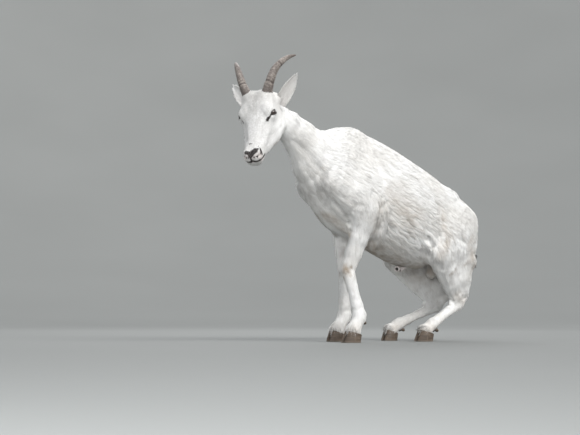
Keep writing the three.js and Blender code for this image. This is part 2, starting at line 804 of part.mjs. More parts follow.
// Hooves: two claws, flat below, rounded outside and nearly flat where they face each other
function claw(coronet, side, inner, toeOut) {
  const rings = [
    [0, 0, 14],
    [1, 0, 0],
    [1, 0.14, 0],
    [0.8, 1.25, 15],
    [0, 1.25, 15],
  ];
  const outward = side * (inner ? -1 : 1);
  const wall = (u, v, target) => {
    const [size, height, back] = rings[Math.round(v * 4)];
    const turn = u * 2 * Math.PI;
    const forward = Math.cos(turn);
    const sideways = Math.sin(turn) * outward;
    const sharp = forward > 0 ? 1 - 0.5 * forward ** 3 : 1;
    const half = sideways > 0 ? CLAW_OUTER : CLAW_INNER;
    target.set(
      back - forward * CLAW_LENGTH * size,
      Math.sin(turn) * half * sharp * (size > 0.9 ? 1 : 0.95) * (size > 0 ? 1 : 0),
      height * HOOF_TOE,
    );
  };
  const place = new THREE.Matrix4()
    .makeTranslation(coronet[0] - 14, coronet[1] + outward * CLAW_SPREAD, 0)
    .multiply(new THREE.Matrix4().makeRotationZ(rad(-toeOut * side * -1 + (inner ? -3 : 3) * side)));
  return solid(new ParametricGeometry(wall, 14, 4), place);
}

// The slanting plane between the pastern's coat and the hooves
function coronetPlane(coronet) {
  const slope = (HOOF_TOE - HOOF_HEEL) / (1.5 * CLAW_LENGTH);
  return { at: [coronet[0] - 24, coronet[1], HOOF_TOE], normal: [slope, 0, 1] };
}

function addFoot(prefix, coronet, side, toeOut) {
  const plane = coronetPlane(coronet);
  for (const [label, inner] of [["inner", true], ["outer", false]]) {
    put(`hoof_${prefix}_${label}`, keepBefore(claw(coronet, side, inner, toeOut), plane.at, plane.normal), HOOF);
  }
}

// Dew claws: two small blunt horny knobs behind each fetlock
function addDewClaws(prefix, fetlock, side, skinned) {
  for (const [label, inner] of [["inner", true], ["outer", false]]) {
    const across = side * (inner ? -1 : 1);
    const knob = new THREE.SphereGeometry(1, 8, 5);
    const place = new THREE.Matrix4()
      .makeTranslation(fetlock[0] + 12, fetlock[1] + across * 10, fetlock[2] - 22)
      .multiply(new THREE.Matrix4().makeRotationZ(rad(across * 20)))
      .multiply(new THREE.Matrix4().makeRotationY(rad(35)))
      .multiply(new THREE.Matrix4().makeScale(12, 7, 8));
    put(`dewclaw_${prefix}_${label}`, solid(knob, place).subtract(skinned), HOOF);
  }
}

function addLowerLeg(prefix, form, joints, top, side, name) {
  const sole = coronetPlane(joints.coronet);
  const size = { rings: 15, sides: 12, caps: 3, reach: 70 };
  const made = legPiece(form, [joints.course], size, [top, sole]);
  put(name, made, COAT);
  const skinned = legPiece(form, [joints.course], { ...size, inset: -GAP }, [top, sole]);
  addDewClaws(prefix, joints.fetlock, side, skinned);
  addFoot(prefix, joints.coronet, side, 8);
}

for (const [name, side] of Object.entries(SIDES)) {
  const fore = forelegJoints(name);
  const kneeFace = { at: fore.knee, normal: jointNormal(fore.elbow, fore.knee, fore.fetlock) };
  const shoulderCourse = [add(fore.elbow, [-16, 6 * side, -2]), between(fore.elbow, fore.knee, 0.2)];
  put(
    `foreleg_${name}_upper`,
    legPiece(
      body([`fore_${name}`]),
      [[...shoulderCourse, between(fore.elbow, fore.knee, 0.5), between(fore.elbow, fore.knee, 0.97)]],
      { rings: 12, sides: 16, caps: 3, reach: 130 },
      [...rootFaces(FORE_ROOT, side), turned(kneeFace)],
    ),
    COAT,
  );
  const foreCourse = [between(fore.elbow, fore.knee, 0.93), fore.knee, between(fore.knee, fore.fetlock, 0.5)];
  addLowerLeg(
    `fore_${name}`,
    legForms[`fore_${name}`],
    { ...fore, course: [...foreCourse, fore.fetlock, fore.coronet] },
    kneeFace,
    side,
    `foreleg_${name}_lower`,
  );

  const hind = hindlegJoints(name);
  const hindForm = body([`hind_${name}`]);
  const root = rootFaces(HIND_ROOT, side);
  const { stifle, hock } = hind;
  const thighEnd = { at: add(stifle, [60, 0, -58]), normal: [-0.12, 0, 1] };
  const hockFace = { at: add(hock, [10, 0, 26]), normal: [0.2, 0, -0.98] };
  const hamAt = (z, back, out) => [lerp(hock[0] + 22, 218, (z - 200) / 200) + back, out * side, z];
  put(
    `hindleg_${name}_thigh`,
    legPiece(
      hindForm,
      [
        [add(stifle, [10, 0, -4]), mirror([96, 106, 316], side), mirror([150, 96, 310], side),
          hamAt(310, -6, 86)],
      ],
      { rings: 12, sides: 24, caps: 5, reach: 190 },
      [...root, thighEnd],
      UP,
    ),
    COAT,
  );
  put(
    `hindleg_${name}_gaskin`,
    legPiece(
      hindForm,
      [
        [[hock[0] - 44, 80 * side, 278], [hock[0] - 26, 69 * side, 240], [hock[0] + 4, 57 * side, 202],
          add(hock, [10, 2 * side, 34])],
      ],
      { rings: 9, sides: 22, caps: 4, reach: 150 },
      [...root, turned(thighEnd), turned(hockFace)],
    ),
    COAT,
  );
  const hindCourse = [add(hock, [24, 0, 16]), hock, between(hock, hind.fetlock, 0.5)];
  addLowerLeg(
    `hind_${name}`,
    legForms[`hind_${name}`],
    { ...hind, course: [...hindCourse, hind.fetlock, hind.coronet] },
    hockFace,
    side,
    `hindleg_${name}_lower`,
  );
}

const model = new THREE.Group();
const bounds = new THREE.Box3();
for (const { name, made, look } of parts) {
  const { numProp, vertProperties, triVerts } = made.getMesh();
  const place = new Float32Array((vertProperties.length / numProp) * 3);
  for (let i = 0; i < place.length / 3; i += 1) {
    place.set(vertProperties.subarray(i * numProp, i * numProp + 3), i * 3);
  }
  const geometry = new THREE.BufferGeometry().setAttribute("position", new THREE.BufferAttribute(place, 3));
  geometry.setIndex(new THREE.BufferAttribute(triVerts, 1));
  geometry.computeVertexNormals();
  geometry.computeBoundingBox();
  bounds.union(geometry.boundingBox);
  const mesh = new THREE.Mesh(geometry, new THREE.MeshStandardMaterial(look));
  mesh.name = name;
  model.add(mesh);
}

// The origin is on the floor, under the middle of the whole form
const middle = bounds.getCenter(new THREE.Vector3());
for (const mesh of model.children) mesh.position.set(-middle.x, -middle.y, -bounds.min.z);

export default model;
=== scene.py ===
# The looks of a life-size young wild sheep with a short white coat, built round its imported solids.
# Metres, +Z up. The animal faces -X and its left side is towards -Y.
import math

import bmesh
import bpy
import numpy as np
from mathutils import Matrix, Vector
from mathutils.bvhtree import BVHTree
from mathutils.kdtree import KDTree


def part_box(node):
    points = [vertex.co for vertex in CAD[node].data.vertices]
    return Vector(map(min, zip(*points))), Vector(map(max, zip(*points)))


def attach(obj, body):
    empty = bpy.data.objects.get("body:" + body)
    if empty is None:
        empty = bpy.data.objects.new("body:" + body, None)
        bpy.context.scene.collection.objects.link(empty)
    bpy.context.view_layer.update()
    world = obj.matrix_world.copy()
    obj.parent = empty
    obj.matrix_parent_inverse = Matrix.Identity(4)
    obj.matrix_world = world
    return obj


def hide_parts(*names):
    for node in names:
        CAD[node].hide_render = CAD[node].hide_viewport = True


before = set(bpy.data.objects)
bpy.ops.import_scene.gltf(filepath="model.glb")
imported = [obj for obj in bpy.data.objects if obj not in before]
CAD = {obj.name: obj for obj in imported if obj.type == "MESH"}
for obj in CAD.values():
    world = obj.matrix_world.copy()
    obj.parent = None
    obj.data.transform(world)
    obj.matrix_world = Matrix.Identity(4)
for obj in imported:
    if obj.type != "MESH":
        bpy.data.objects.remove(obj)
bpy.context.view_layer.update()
SIDES = {"left": -1, "right": 1}

# Camera, in the body's own measures
CAMERA_AT = (-3.360, -3.961, 0.120)
CAMERA_AZIMUTH = -35.0
CAMERA_RISE = 4.03
CAMERA_LENS = 81.67
SENSOR_WIDTH = 36.0

# The head's own axes: nose, left and crown. EYE_AT gives the place of the head in the frame
HEAD_AT = (-0.771, -0.052, 0.902)
HEAD_YAW = 43.2
HEAD_PITCH = 58.9
HEAD_ROLL = 8.3
EYE_AT = (0.077, 0.054, -0.038)
HEAD_MIDDLE = (120, 0, -60)
HEAD_REACH = 230

# The eyeballs: where they are, which way they look, and how the lids slant over them
EYE_CENTRE = (0.0745, 0.055, -0.0375)
EYE_OUT = {"left": (0.35, 0.8, 0.45), "right": (0.2, 0.9, 0.3)}
EYE_RADIUS = 0.016
EYE_SLANT = 32.0
IRIS_SIZE = 0.0088
PUPIL_WIDTH = 0.0046
PUPIL_HEIGHT = 0.0017

# The lids, in millimetres: the opening is where two round outlines cross. By its distance outside
# the opening, in LID_STEPS, the skin lies at LID_DEPTHS from the middle of the eyeball
LID_HALF_LENGTH = 16.5
LID_SHIFT = 3.0
LID_RISE = 8.0
LID_DROP = 6.5
LID_STEPS = (-2.4, -0.9, 0.0, 1.2, 3.0)
LID_DEPTHS = (12.0, 14.0, 17.4, 18.3, 18.3)
LID_BLEND_START = 4.0
LID_BLEND_END = 13.0
LID_FIELD = 34.0
LID_FIELD_DEPTH = 40.0

# The dark rim of the lids, and how far from it hair begins
RIM_WIDTH = 3.3
RIM_FADE = 1.2
RIM_REACH = 26.0
BARE_WIDTH = 1.8
BARE_REACH = 24.0

# The crease over an eye and the bag under it: height, distance from the opening and width
CREASE = (1.3, 5.5, 1.4)
BAG = (0.9, 6.0, 1.6)

# The middle of the left horn, in the head's millimetres, and its growth rings
HORN_COURSE = [
    (8, 35, -22),
    (-6, 41, -4),
    (-34, 53, 12),
    (-72, 66, 21),
    (-112, 82, 14),
    (-155, 101, -8),
    (-193, 118, -42),
]
HORN_STEPS = 30
HORN_TIP_START = 0.6
HORN_RINGS = 21
RING_CROWDING = 0.82
RING_WAVES = 1.4
RING_DEPTH = 0.75
HORN_YEARS = (0.22, 0.55)
YEAR_WIDTH = 0.014
YEAR_DEPTH = 1.3
FLARE_HEIGHT = 2.8
FLARE_LENGTH = 0.05
HORN_ROUGHNESS = 0.25

# The root, tip and open side of each ear, in the head's millimetres, and the coat on it
EARS = {
    "left": ((-13, 68, -78), (-97, 140, -22), (0.2, 0.75, 0.6)),
    "right": ((-13, -60, -64), (-98, -120, -66), (0.15, -0.45, 0.85)),
}
EAR_THICKER = 0.0009
EAR_COAT = (0, 8.5, 1.3, 2.1, 0.12, 0.2, 0.12, 0.3)

# The opening of the sheath, in the body's millimetres: its middle, which way it faces, and for
# each ring of its lip the radius and how far out it stands
SHEATH_MOUTH = (-84, -6, 279)
SHEATH_WAY = (-0.84, -0.48, -0.25)
SHEATH_LIP = [
    (1.5, -9), (6.0, -8), (6.6, -1), (7.8, 1.6), (9.6, 1.8),
    (11.0, -0.5), (11.2, -5), (10.6, -14), (8.0, -30),
]
LIP_SIDES = 28
MOUTH_RADIUS = 7.2
MOUTH_DEPTH = 14.0

HOOF_BEVEL = 0.0018

# Stage and lights. The soft lights have a place, a size and a power, and face LIT_PLACE
FLOOR_RADIUS = 5.4
FLOOR_SIDES = 160
SWEEP_RADIUS = 16.0
SWEEP_ANGLE = 56.0
SWEEP_STEPS = 28
SKY_COLOUR = (0.95, 0.975, 1.0, 1)
SKY_POWER = 1.1
SUN_WAY = (-0.10, 0.78, -0.62)
SUN_WIDTH = 32.0
SUN_POWER = 2.4
SUN_COLOUR = (1.0, 0.99, 0.97)
SOFT_COLOUR = (0.97, 0.985, 1.0)
SOFT_LIGHTS = {"fill": ((-3.0, -3.2, 0.9), 1.6, 42), "back": ((1.4, 2.6, 2.8), 2.2, 34)}
LIT_PLACE = (-0.1, 0, 0.6)

# Skin: the size of its first mesh, then how much and how often it is smoothed
SKIN_VOXEL = 0.0045
SMOOTH_KEEP = 0.5
SMOOTH_GIVE = -0.53
SKIN_ROUNDS = 8
BROAD_PARTS = ("torso", "neck", "hindleg_thigh", "foreleg_upper")
BROAD_ROUNDS = 90
BROAD_BLEND = 8
FACE_MIDDLE = (120, 0, -70)
FACE_REACH = 200
FACE_FADE = 40
FACE_ROUNDS = 5
COAT_ROUNDS = 10
LIE_ROUNDS = 60

# Where the skin's mesh is finer: a place in the head's millimetres and a radius in metres
FINER_PLACES = [
    (FACE_MIDDLE, 0.165),
    ((90, 60, -34), 0.034),
    ((90, -60, -34), 0.034),
    ((254, 0, -56), 0.05),
]

# The fringe of hair over each hoof: how far it reaches, in metres, and how much longer it is
HOOF_FRINGE = 0.046
FRINGE_FADE = 0.02
FRINGE_GROWTH = 0.9

# Soil on the feet, by height in millimetres
FOOT_SOIL = 0.4
FOOT_SOIL_TOP = 96
FOOT_SOIL_FADE = 60

# Tufts: how many there are, where they stand clear of a fold or the floor, how they gather in
# clumps, and the shape of one
MOST_TUFTS = 19500
TUFT_SHARE = 0.86
FOLD_START = 0.002
FOLD_REACH = 0.024
CLEAR_OF_FLOOR = 0.001
CLUMP_SQUEEZE = 0.62
CLUMP_SHARE = 0.055
CLUMP_REACH = 0.006
CLUMP_PULL = 0.01
CLUMP_ROUND = 0.38
WAVE_TERMS = 7
LONG_WAVE = 0.11
SHORT_WAVE = 0.034
TUFT_SINK = 0.35
TUFT_RIDGE = 0.3
TUFT_ROUND = 0.5
TUFT_PATCH = 0.0015

# A tuft's two rings, each with its place along the tuft, its height and its width, then the
# faces, tones and directions of its seven corners. The tones deepen towards the root as painted shade
TUFT_RINGS = ((0.0, None, 0.85), (0.5, 0.62, 1.0))
TUFT_FACES = [(0, 2, 5, 3), (2, 1, 4, 5), (1, 0, 3, 4), (3, 5, 6), (5, 4, 6), (4, 3, 6), (0, 1, 2)]
# Each corner's share of the tuft's tone: more at the root than at the tip, a painted shade where tufts
# cover one another
TUFT_ROOT_SHADE = np.array([1.2, 1.2, 1.1, 1.0, 1.0, 0.9, 0.6])
TUFT_SIDES = np.array([-1, 1, 0, -1, 1, 0, 0])
TUFT_PLAN = np.array([(-1, -1), (1, -1), (0, -1), (-1, 0), (1, 0), (0, 0), (0, 1)])
TUFT_CORNERS = len(TUFT_ROOT_SHADE)

# Seeds of the random draws
ROOT_SEED = 7
COAT_SEED = 100
EAR_ROOT_SEED = 31
EAR_COAT_SEED = 41
RING_SEED = 51
ROUGH_SEED = 55

rad = math.radians


# Places


def middle(node):
    low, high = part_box(node)
    return (low + high) / 2


def head_matrix(at):
    turn = (
        Matrix.Rotation(rad(HEAD_YAW), 4, "Z")
        @ Matrix.Rotation(rad(-HEAD_PITCH), 4, "Y")
        @ Matrix.Rotation(rad(-HEAD_ROLL), 4, "X")
    )
    return Matrix.Translation(at) @ turn @ Matrix.Diagonal((-1, -1, 1, 1))


def mirrored(point, side):
    return Vector((point[0], point[1] * side, point[2]))


def flipped(course, side):
    return [(x, y * side, z) for x, y, z in course]


# The body's own measures and the frame differ by one shift, which the eyes give
SHIFT = (middle("eye_left") + middle("eye_right")) / 2 - head_matrix(Vector(HEAD_AT)) @ Vector(
    (EYE_AT[0], 0, EYE_AT[2])
)
HEAD = head_matrix(Vector(HEAD_AT) + SHIFT)


def place(x, y, z):
    """A point in the frame, from the body's own millimetres."""
    return Vector((x, y, z)) / 1000 + SHIFT


def head_place(x, y, z):
    """A point in the frame, from the head's own millimetres."""
    return HEAD @ (Vector((x, y, z)) / 1000)


def eye_matrix(name):
    """The eye's own axes: along the lids, over them and out of the head."""
    side = -SIDES[name]
    out = mirrored(EYE_OUT[name], side).normalized()
    along = Vector((-math.cos(rad(EYE_SLANT)), side * 0.12, -math.sin(rad(EYE_SLANT))))
    along = (along - out * along.dot(out)).normalized()
    over = out.cross(along) * side
    turn = Matrix((along, over, out)).transposed().to_4x4()
    return HEAD @ Matrix.Translation(mirrored(EYE_CENTRE, side)) @ turn


# Arrays


def smoothstep(value):
    value = np.clip(value, 0, 1)
    return value * value * (3 - 2 * value)


def unit(vectors):
    return vectors / np.maximum(np.linalg.norm(vectors, axis=-1, keepdims=True), 1e-12)


def lengths(vectors):
    return np.linalg.norm(vectors, axis=1)


def hump(values, height, at, width):
    """A rounded hump over the values near one place."""
    return height * np.exp(-(((values - at) / width) ** 2))


def own(points, matrix):
    """Points in the own axes of a matrix, in millimetres."""
    inverse = np.array(matrix.inverted())
    return (points @ inverse[:3, :3].T + inverse[:3, 3]) * 1000


def in_body(points):
    return (points - np.array(SHIFT)) * 1000


def to_segment(points, start, end):
    """Distance of each point from a straight piece."""
    start, end = np.array(start, float), np.array(end, float)
    way = end - start
    along = np.clip(((points - start) @ way) / (way @ way), 0, 1)
    return lengths(points - start - along[:, None] * way)


def patch(points, course, radius, soft=1.0):
    """A mask that is 1 on a course of points and fades out at a radius."""
    course = [np.array(p, float) for p in course]
    if len(course) == 1:
        far = lengths(points - course[0])
    else:
        far = np.min([to_segment(points, a, b) for a, b in zip(course, course[1:])], axis=0)
    return smoothstep((radius - far) / (radius * soft))


def fetched(items, field, width, kind=np.float64):
    """One field of all the items of a mesh, a row for each."""
    flat = np.empty(len(items) * width, kind)
    items.foreach_get(field, flat)
    return flat.reshape(-1, width)


def vertex_places(mesh):
    return fetched(mesh.vertices, "co", 3)


def set_vertex_places(mesh, points):
    mesh.vertices.foreach_set("co", np.ascontiguousarray(points, np.float32).ravel())
    mesh.update()


def vertex_normals(mesh):
    return fetched(mesh.vertex_normals, "vector", 3, np.float32).astype(float)


def edge_pairs(mesh):
    return fetched(mesh.edges, "vertices", 2, np.int32)


def triangle_corners(mesh):
    return fetched(mesh.loop_triangles, "vertices", 3, np.int32)


def neighbour_mean(values, pairs, count):
    """The mean over each vertex's neighbours."""
    total = np.zeros((len(count), values.shape[1]))
    for column in range(values.shape[1]):
        total[:, column] = np.bincount(pairs[:, 0], values[pairs[:, 1], column], len(count))
        total[:, column] += np.bincount(pairs[:, 1], values[pairs[:, 0], column], len(count))
    return total / np.maximum(count, 1)[:, None]


def spread(values, pairs, rounds):
    """Values blurred over the mesh."""
    flat = values.ndim == 1
    values = values[:, None] if flat else values
    count = np.bincount(pairs.ravel(), minlength=len(values))
    for _ in range(rounds):
        values = (values + neighbour_mean(values, pairs, count)) / 2
    return values[:, 0] if flat else values


def even_out(points, pairs, rounds, weight):
    """Smooths a surface and keeps its volume, more where the weight is near 1."""
    count = np.bincount(pairs.ravel(), minlength=len(points))
    for _ in range(rounds):
        for factor in (SMOOTH_KEEP, SMOOTH_GIVE):
            pull = neighbour_mean(points, pairs, count) - points
            points = points + pull * (factor * weight)[:, None]
    return points


# Objects


def only(piece):
    bpy.ops.object.select_all(action="DESELECT")
    piece.select_set(True)
    bpy.context.view_layer.objects.active = piece


def new_object(name, data):
    made = bpy.data.objects.new(name, data)
    bpy.context.scene.collection.objects.link(made)
    return made


def merged_copy(nodes, name):
    """One new piece from copies of CAD nodes, with their loose triangles joined up."""
    shell = bmesh.new()
    for node in nodes:
        shell.from_mesh(CAD[node].data)
    bmesh.ops.remove_doubles(shell, verts=shell.verts, dist=1e-5)
    mesh = bpy.data.meshes.new(name)
    shell.to_mesh(mesh)
    shell.free()
    return new_object(name, mesh)


def apply_modifier(piece, kind, **settings):
    only(piece)
    modifier = piece.modifiers.new(kind.lower(), kind)
    for key, value in settings.items():
        setattr(modifier, key, value)
    bpy.ops.object.modifier_apply(modifier=modifier.name)


def subdivided(piece, levels):
    apply_modifier(piece, "SUBSURF", levels=levels, render_levels=levels)


def finish_piece(piece, looks, replaces=()):
    piece.data.materials.clear()
    piece.data.materials.append(looks)
    for polygon in piece.data.polygons:
        polygon.material_index = 0
    only(piece)
    bpy.ops.object.shade_smooth()
    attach(piece, "root")
    if replaces:
        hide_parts(*replaces)
    return piece


def set_attribute(mesh, name, values):
    """A value for each vertex: a number, or four in one."""
    kind, field = ("FLOAT_COLOR", "color") if values.ndim > 1 else ("FLOAT", "value")
    attribute = mesh.attributes.get(name) or mesh.attributes.new(name, kind, "POINT")
    attribute.data.foreach_set(field, np.ascontiguousarray(values, np.float32).ravel())


# Node trees


def add(tree, kind, inputs=None, **settings):
    made = tree.nodes.new(kind)
    for key, value in settings.items():
        setattr(made, key, value)
    for key, value in (inputs or {}).items():
        if isinstance(value, bpy.types.NodeSocket):
            tree.links.new(value, made.inputs[key])
        else:
            made.inputs[key].default_value = value
    return made


def mix(tree, factor, first, second, blend="MIX"):
    inputs = {0: factor, 6: first, 7: second}
    return add(tree, "ShaderNodeMix", inputs, data_type="RGBA", blend_type=blend).outputs[2]


def sums(tree, operation, first, second=0.0, clamp=False):
    made = add(tree, "ShaderNodeMath", {0: first, 1: second}, operation=operation, use_clamp=clamp)
    return made.outputs[0]


def ramp(tree, value, low, high, start=0.0, end=1.0):
    made = add(
        tree,
        "ShaderNodeMapRange",
        {"Value": value, "From Min": low, "From Max": high, "To Min": start, "To Max": end},
        interpolation_type="SMOOTHSTEP",
    )
    return made.outputs[0]


def noise(tree, vector, scale, detail=3.0, stretch=None):
    if stretch:
        vector = add(tree, "ShaderNodeMapping", {"Vector": vector, "Scale": stretch}).outputs[0]
    made = add(tree, "ShaderNodeTexNoise", {"Vector": vector, "Scale": scale, "Detail": detail})
    return made.outputs["Fac"]


def new_material(name, **fixed):
    made = bpy.data.materials.new(name)
    made.use_nodes = True
    shader = made.node_tree.nodes["Principled BSDF"]
    for key, value in fixed.items():
        shader.inputs[key.replace("_", " ")].default_value = value
    return made, made.node_tree, shader


def tinted(tree, colour, *layers):
    """A colour with others laid over it, each where a value goes from low to high."""
    for value, low, high, share, tint in layers:
        colour = mix(tree, ramp(tree, value, low, high, 0.0, share), colour, (*tint, 1))
    return colour


def wire(tree, shader, **sockets):
    for key, socket in sockets.items():
        tree.links.new(socket, shader.inputs[key.replace("_", " ")])


def bump(tree, height, strength, distance, normal=None):
    inputs = {"Height": height, "Strength": strength, "Distance": distance}
    if normal:
        inputs["Normal"] = normal
    return add(tree, "ShaderNodeBump", inputs).outputs[0]


def facing_normal(tree, least):
    """The normal, turned to the viewer where it would face away from it, as at a coat's edge."""

    def vector(operation, first, second=None, name=1):
        inputs = {0: first} if second is None else {0: first, name: second}
        return add(tree, "ShaderNodeVectorMath", inputs, operation=operation).outputs

    spot = tree.nodes.new("ShaderNodeNewGeometry").outputs
    facing = vector("DOT_PRODUCT", spot["Normal"], spot["Incoming"])["Value"]
    short = sums(tree, "MAXIMUM", sums(tree, "SUBTRACT", least, facing), 0.0)
    turned = vector("SCALE", spot["Incoming"], short, "Scale")[0]
    both = vector("ADD", spot["Normal"], turned)[0]
    return vector("NORMALIZE", both)[0]


def object_place(tree):
    return tree.nodes.new("ShaderNodeTexCoord").outputs["Object"]


def coat_group():
    """The colours of the hair and the skin under it, from the marks that each vertex carries, some of
    which are painted shade.
    """
    group = bpy.data.node_groups.new("coat markings", "ShaderNodeTree")
    face = group.interface
    face.new_socket("Place", in_out="INPUT", socket_type="NodeSocketVector")
    for name in ("Soil", "Grey", "Bare", "Dark", "Tone"):
        face.new_socket(name, in_out="INPUT", socket_type="NodeSocketFloat")
    face.new_socket("Colour", in_out="OUTPUT", socket_type="NodeSocketColor")
    face.new_socket("Height", in_out="OUTPUT", socket_type="NodeSocketFloat")
    start = group.nodes.new("NodeGroupInput").outputs
    where = start["Place"]
    broad = noise(group, where, 7.0, 2.0)
    fine = noise(group, where, 160.0, 3.0)
    speck = noise(group, where, 420.0, 2.0)
    white = tinted(
        group,
        (0.86, 0.855, 0.845, 1),
        (broad, 0.35, 0.68, 1.0, (0.83, 0.815, 0.79)),
        (fine, 0.45, 0.75, 0.25, (0.74, 0.72, 0.69)),
    )
    # Towards a darker root colour by the tone, which differs at random and is deeper at each tuft's
    # root as painted shade
    white = mix(group, start["Tone"], white, (0.42, 0.385, 0.345, 1))
    # Soil: brown stains, and under the belly also painted shade on the underside
    patchy = ramp(group, noise(group, where, 34.0, 4.0), 0.28, 0.66, 0.25, 1.0)
    soiled_and_shaded = sums(group, "MULTIPLY", start["Soil"], patchy, True)
    colour = mix(group, soiled_and_shaded, white, (0.34, 0.26, 0.185, 1))
    # Grey: mostly painted shade in folds, creases, round the ears and under the body
    greyed_and_shaded = sums(group, "MULTIPLY", start["Grey"], ramp(group, fine, 0.25, 0.6, 0.5, 1.0), True)
    colour = mix(group, greyed_and_shaded, colour, (0.32, 0.305, 0.295, 1))
    colour = mix(group, start["Bare"], colour, (0.40, 0.27, 0.235, 1))
    # Dark: the black skin of the lid rims, nose and tear lines, and painted shade inside the nostrils
    # and the sheath's mouth
    darkened = sums(group, "MULTIPLY", start["Dark"], ramp(group, speck, 0.2, 0.5, 0.7, 1.0), True)
    colour = mix(group, darkened, colour, (0.022, 0.017, 0.016, 1))
    end = group.nodes.new("NodeGroupOutput").inputs
    group.links.new(colour, end["Colour"])
    group.links.new(sums(group, "ADD", fine, sums(group, "MULTIPLY", speck, 0.4)), end["Height"])
    return group


def coat_material(name, group, strength):
    made, tree, shader = new_material(
        name, Sheen_Weight=0.12, Sheen_Roughness=0.5, Specular_IOR_Level=0.22
    )
    marks = add(tree, "ShaderNodeAttribute", attribute_name="marks")
    parts = add(tree, "ShaderNodeSeparateColor", {0: marks.outputs["Color"]})
    tone = add(tree, "ShaderNodeAttribute", attribute_name="tone")
    used = add(tree, "ShaderNodeGroup", node_tree=group)
    soil_and_shade, grey_and_shade, bare = parts.outputs
    dark = marks.outputs["Alpha"]
    wire(tree, used, Place=object_place(tree), Soil=soil_and_shade, Grey=grey_and_shade, Bare=bare, Dark=dark)
    wire(tree, used, Tone=tone.outputs["Fac"])
    rough = mix(tree, dark, (0.86, 0.86, 0.86, 1), (0.4, 0.4, 0.4, 1))
    normal = bump(tree, used.outputs["Height"], strength, 0.0012, facing_normal(tree, 0.12))
    wire(tree, shader, Base_Color=used.outputs["Colour"], Roughness=rough, Normal=normal)
    return made


def horn_material():
    """Ringed horn: darker at its base and tip and in its grooves."""
    made, tree, shader = new_material("horn_sheath", Specular_IOR_Level=0.35)
    where = object_place(tree)
    along = add(tree, "ShaderNodeAttribute", attribute_name="along").outputs["Fac"]
    groove = add(tree, "ShaderNodeAttribute", attribute_name="groove").outputs["Fac"]
    fine = noise(tree, where, 210.0, 4.0)
    broad = noise(tree, where, 38.0, 3.0)
    colour = tinted(
        tree,
        (0.17, 0.145, 0.13, 1),
        (broad, 0.3, 0.7, 1.0, (0.34, 0.30, 0.27)),
        (fine, 0.42, 0.64, 0.7, (0.085, 0.07, 0.064)),
        (groove, 0.2, 0.9, 0.8, (0.07, 0.056, 0.05)),
        (along, 0.78, 1.0, 0.7, (0.10, 0.08, 0.07)),
        (along, 0.2, 0.0, 0.4, (0.08, 0.068, 0.07)),
    )
    rough = ramp(tree, fine, 0.3, 0.7, 0.5, 0.68)
    wire(tree, shader, Base_Color=colour, Roughness=rough, Normal=bump(tree, fine, 0.35, 0.0012))
    return made


def hoof_material():
    """Worn dark horn with growth lines."""
    made, tree, shader = new_material("hoof_horn", Specular_IOR_Level=0.35)
    where = object_place(tree)
    lines = noise(tree, where, 30.0, 3.0, (0.6, 0.6, 16.0))
    worn = noise(tree, where, 90.0, 4.0)
    height = add(tree, "ShaderNodeSeparateXYZ", {0: where}).outputs[2]
    colour = tinted(
        tree,
        (0.052, 0.037, 0.027, 1),
        (lines, 0.35, 0.65, 1.0, (0.115, 0.085, 0.062)),
        (worn, 0.5, 0.75, 0.6, (0.19, 0.15, 0.115)),
        (height, 0.01, 0.0, 0.55, (0.22, 0.185, 0.15)),
    )
    rough = ramp(tree, worn, 0.3, 0.7, 0.42, 0.66)
    both = sums(tree, "ADD", lines, sums(tree, "MULTIPLY", worn, 0.5))
    wire(tree, shader, Base_Color=colour, Roughness=rough, Normal=bump(tree, both, 0.4, 0.0015))
    return made


def eye_material(name, matrix):
    """Brown iris round a level slot of a pupil, under a wet cornea."""
    made, tree, shader = new_material(
        f"eye_{name}_looks", Coat_Weight=1.0, Coat_Roughness=0.03, Roughness=0.25
    )
    where = {"Vector": object_place(tree), "Location": matrix.translation}
    where["Rotation"] = matrix.to_euler()
    mapping = add(tree, "ShaderNodeMapping", where, vector_type="TEXTURE")
    split = add(tree, "ShaderNodeSeparateXYZ", {0: mapping.outputs[0]})

    def reach(wide, high):
        """How far out a place is, as a share of an oval's size there."""
        x = sums(tree, "POWER", sums(tree, "DIVIDE", split.outputs[0], wide), 2.0)
        y = sums(tree, "POWER", sums(tree, "DIVIDE", split.outputs[1], high), 2.0)
        return sums(tree, "SQRT", sums(tree, "ADD", x, y))

    iris = reach(IRIS_SIZE, IRIS_SIZE)
    pupil = reach(PUPIL_WIDTH, PUPIL_HEIGHT)
    rays = noise(tree, mapping.outputs[0], 700.0, 2.0)
    colour = tinted(
        tree,
        (0.022, 0.010, 0.007, 1),
        (rays, 0.3, 0.7, 1.0, (0.055, 0.026, 0.016)),
        (iris, 0.6, 1.0, 1.0, (0.012, 0.007, 0.005)),
        (iris, 1.0, 1.25, 1.0, (0.10, 0.075, 0.065)),
        (pupil, 1.15, 0.9, 1.0, (0.002, 0.002, 0.003)),
    )
    wire(tree, shader, Base_Color=colour)
    return made


# Marks on the coat and the skin. Each is a kind, a strength, a radius in millimetres and a course
# in the body's or the head's own millimetres, on both sides or, in the tables called once, as given


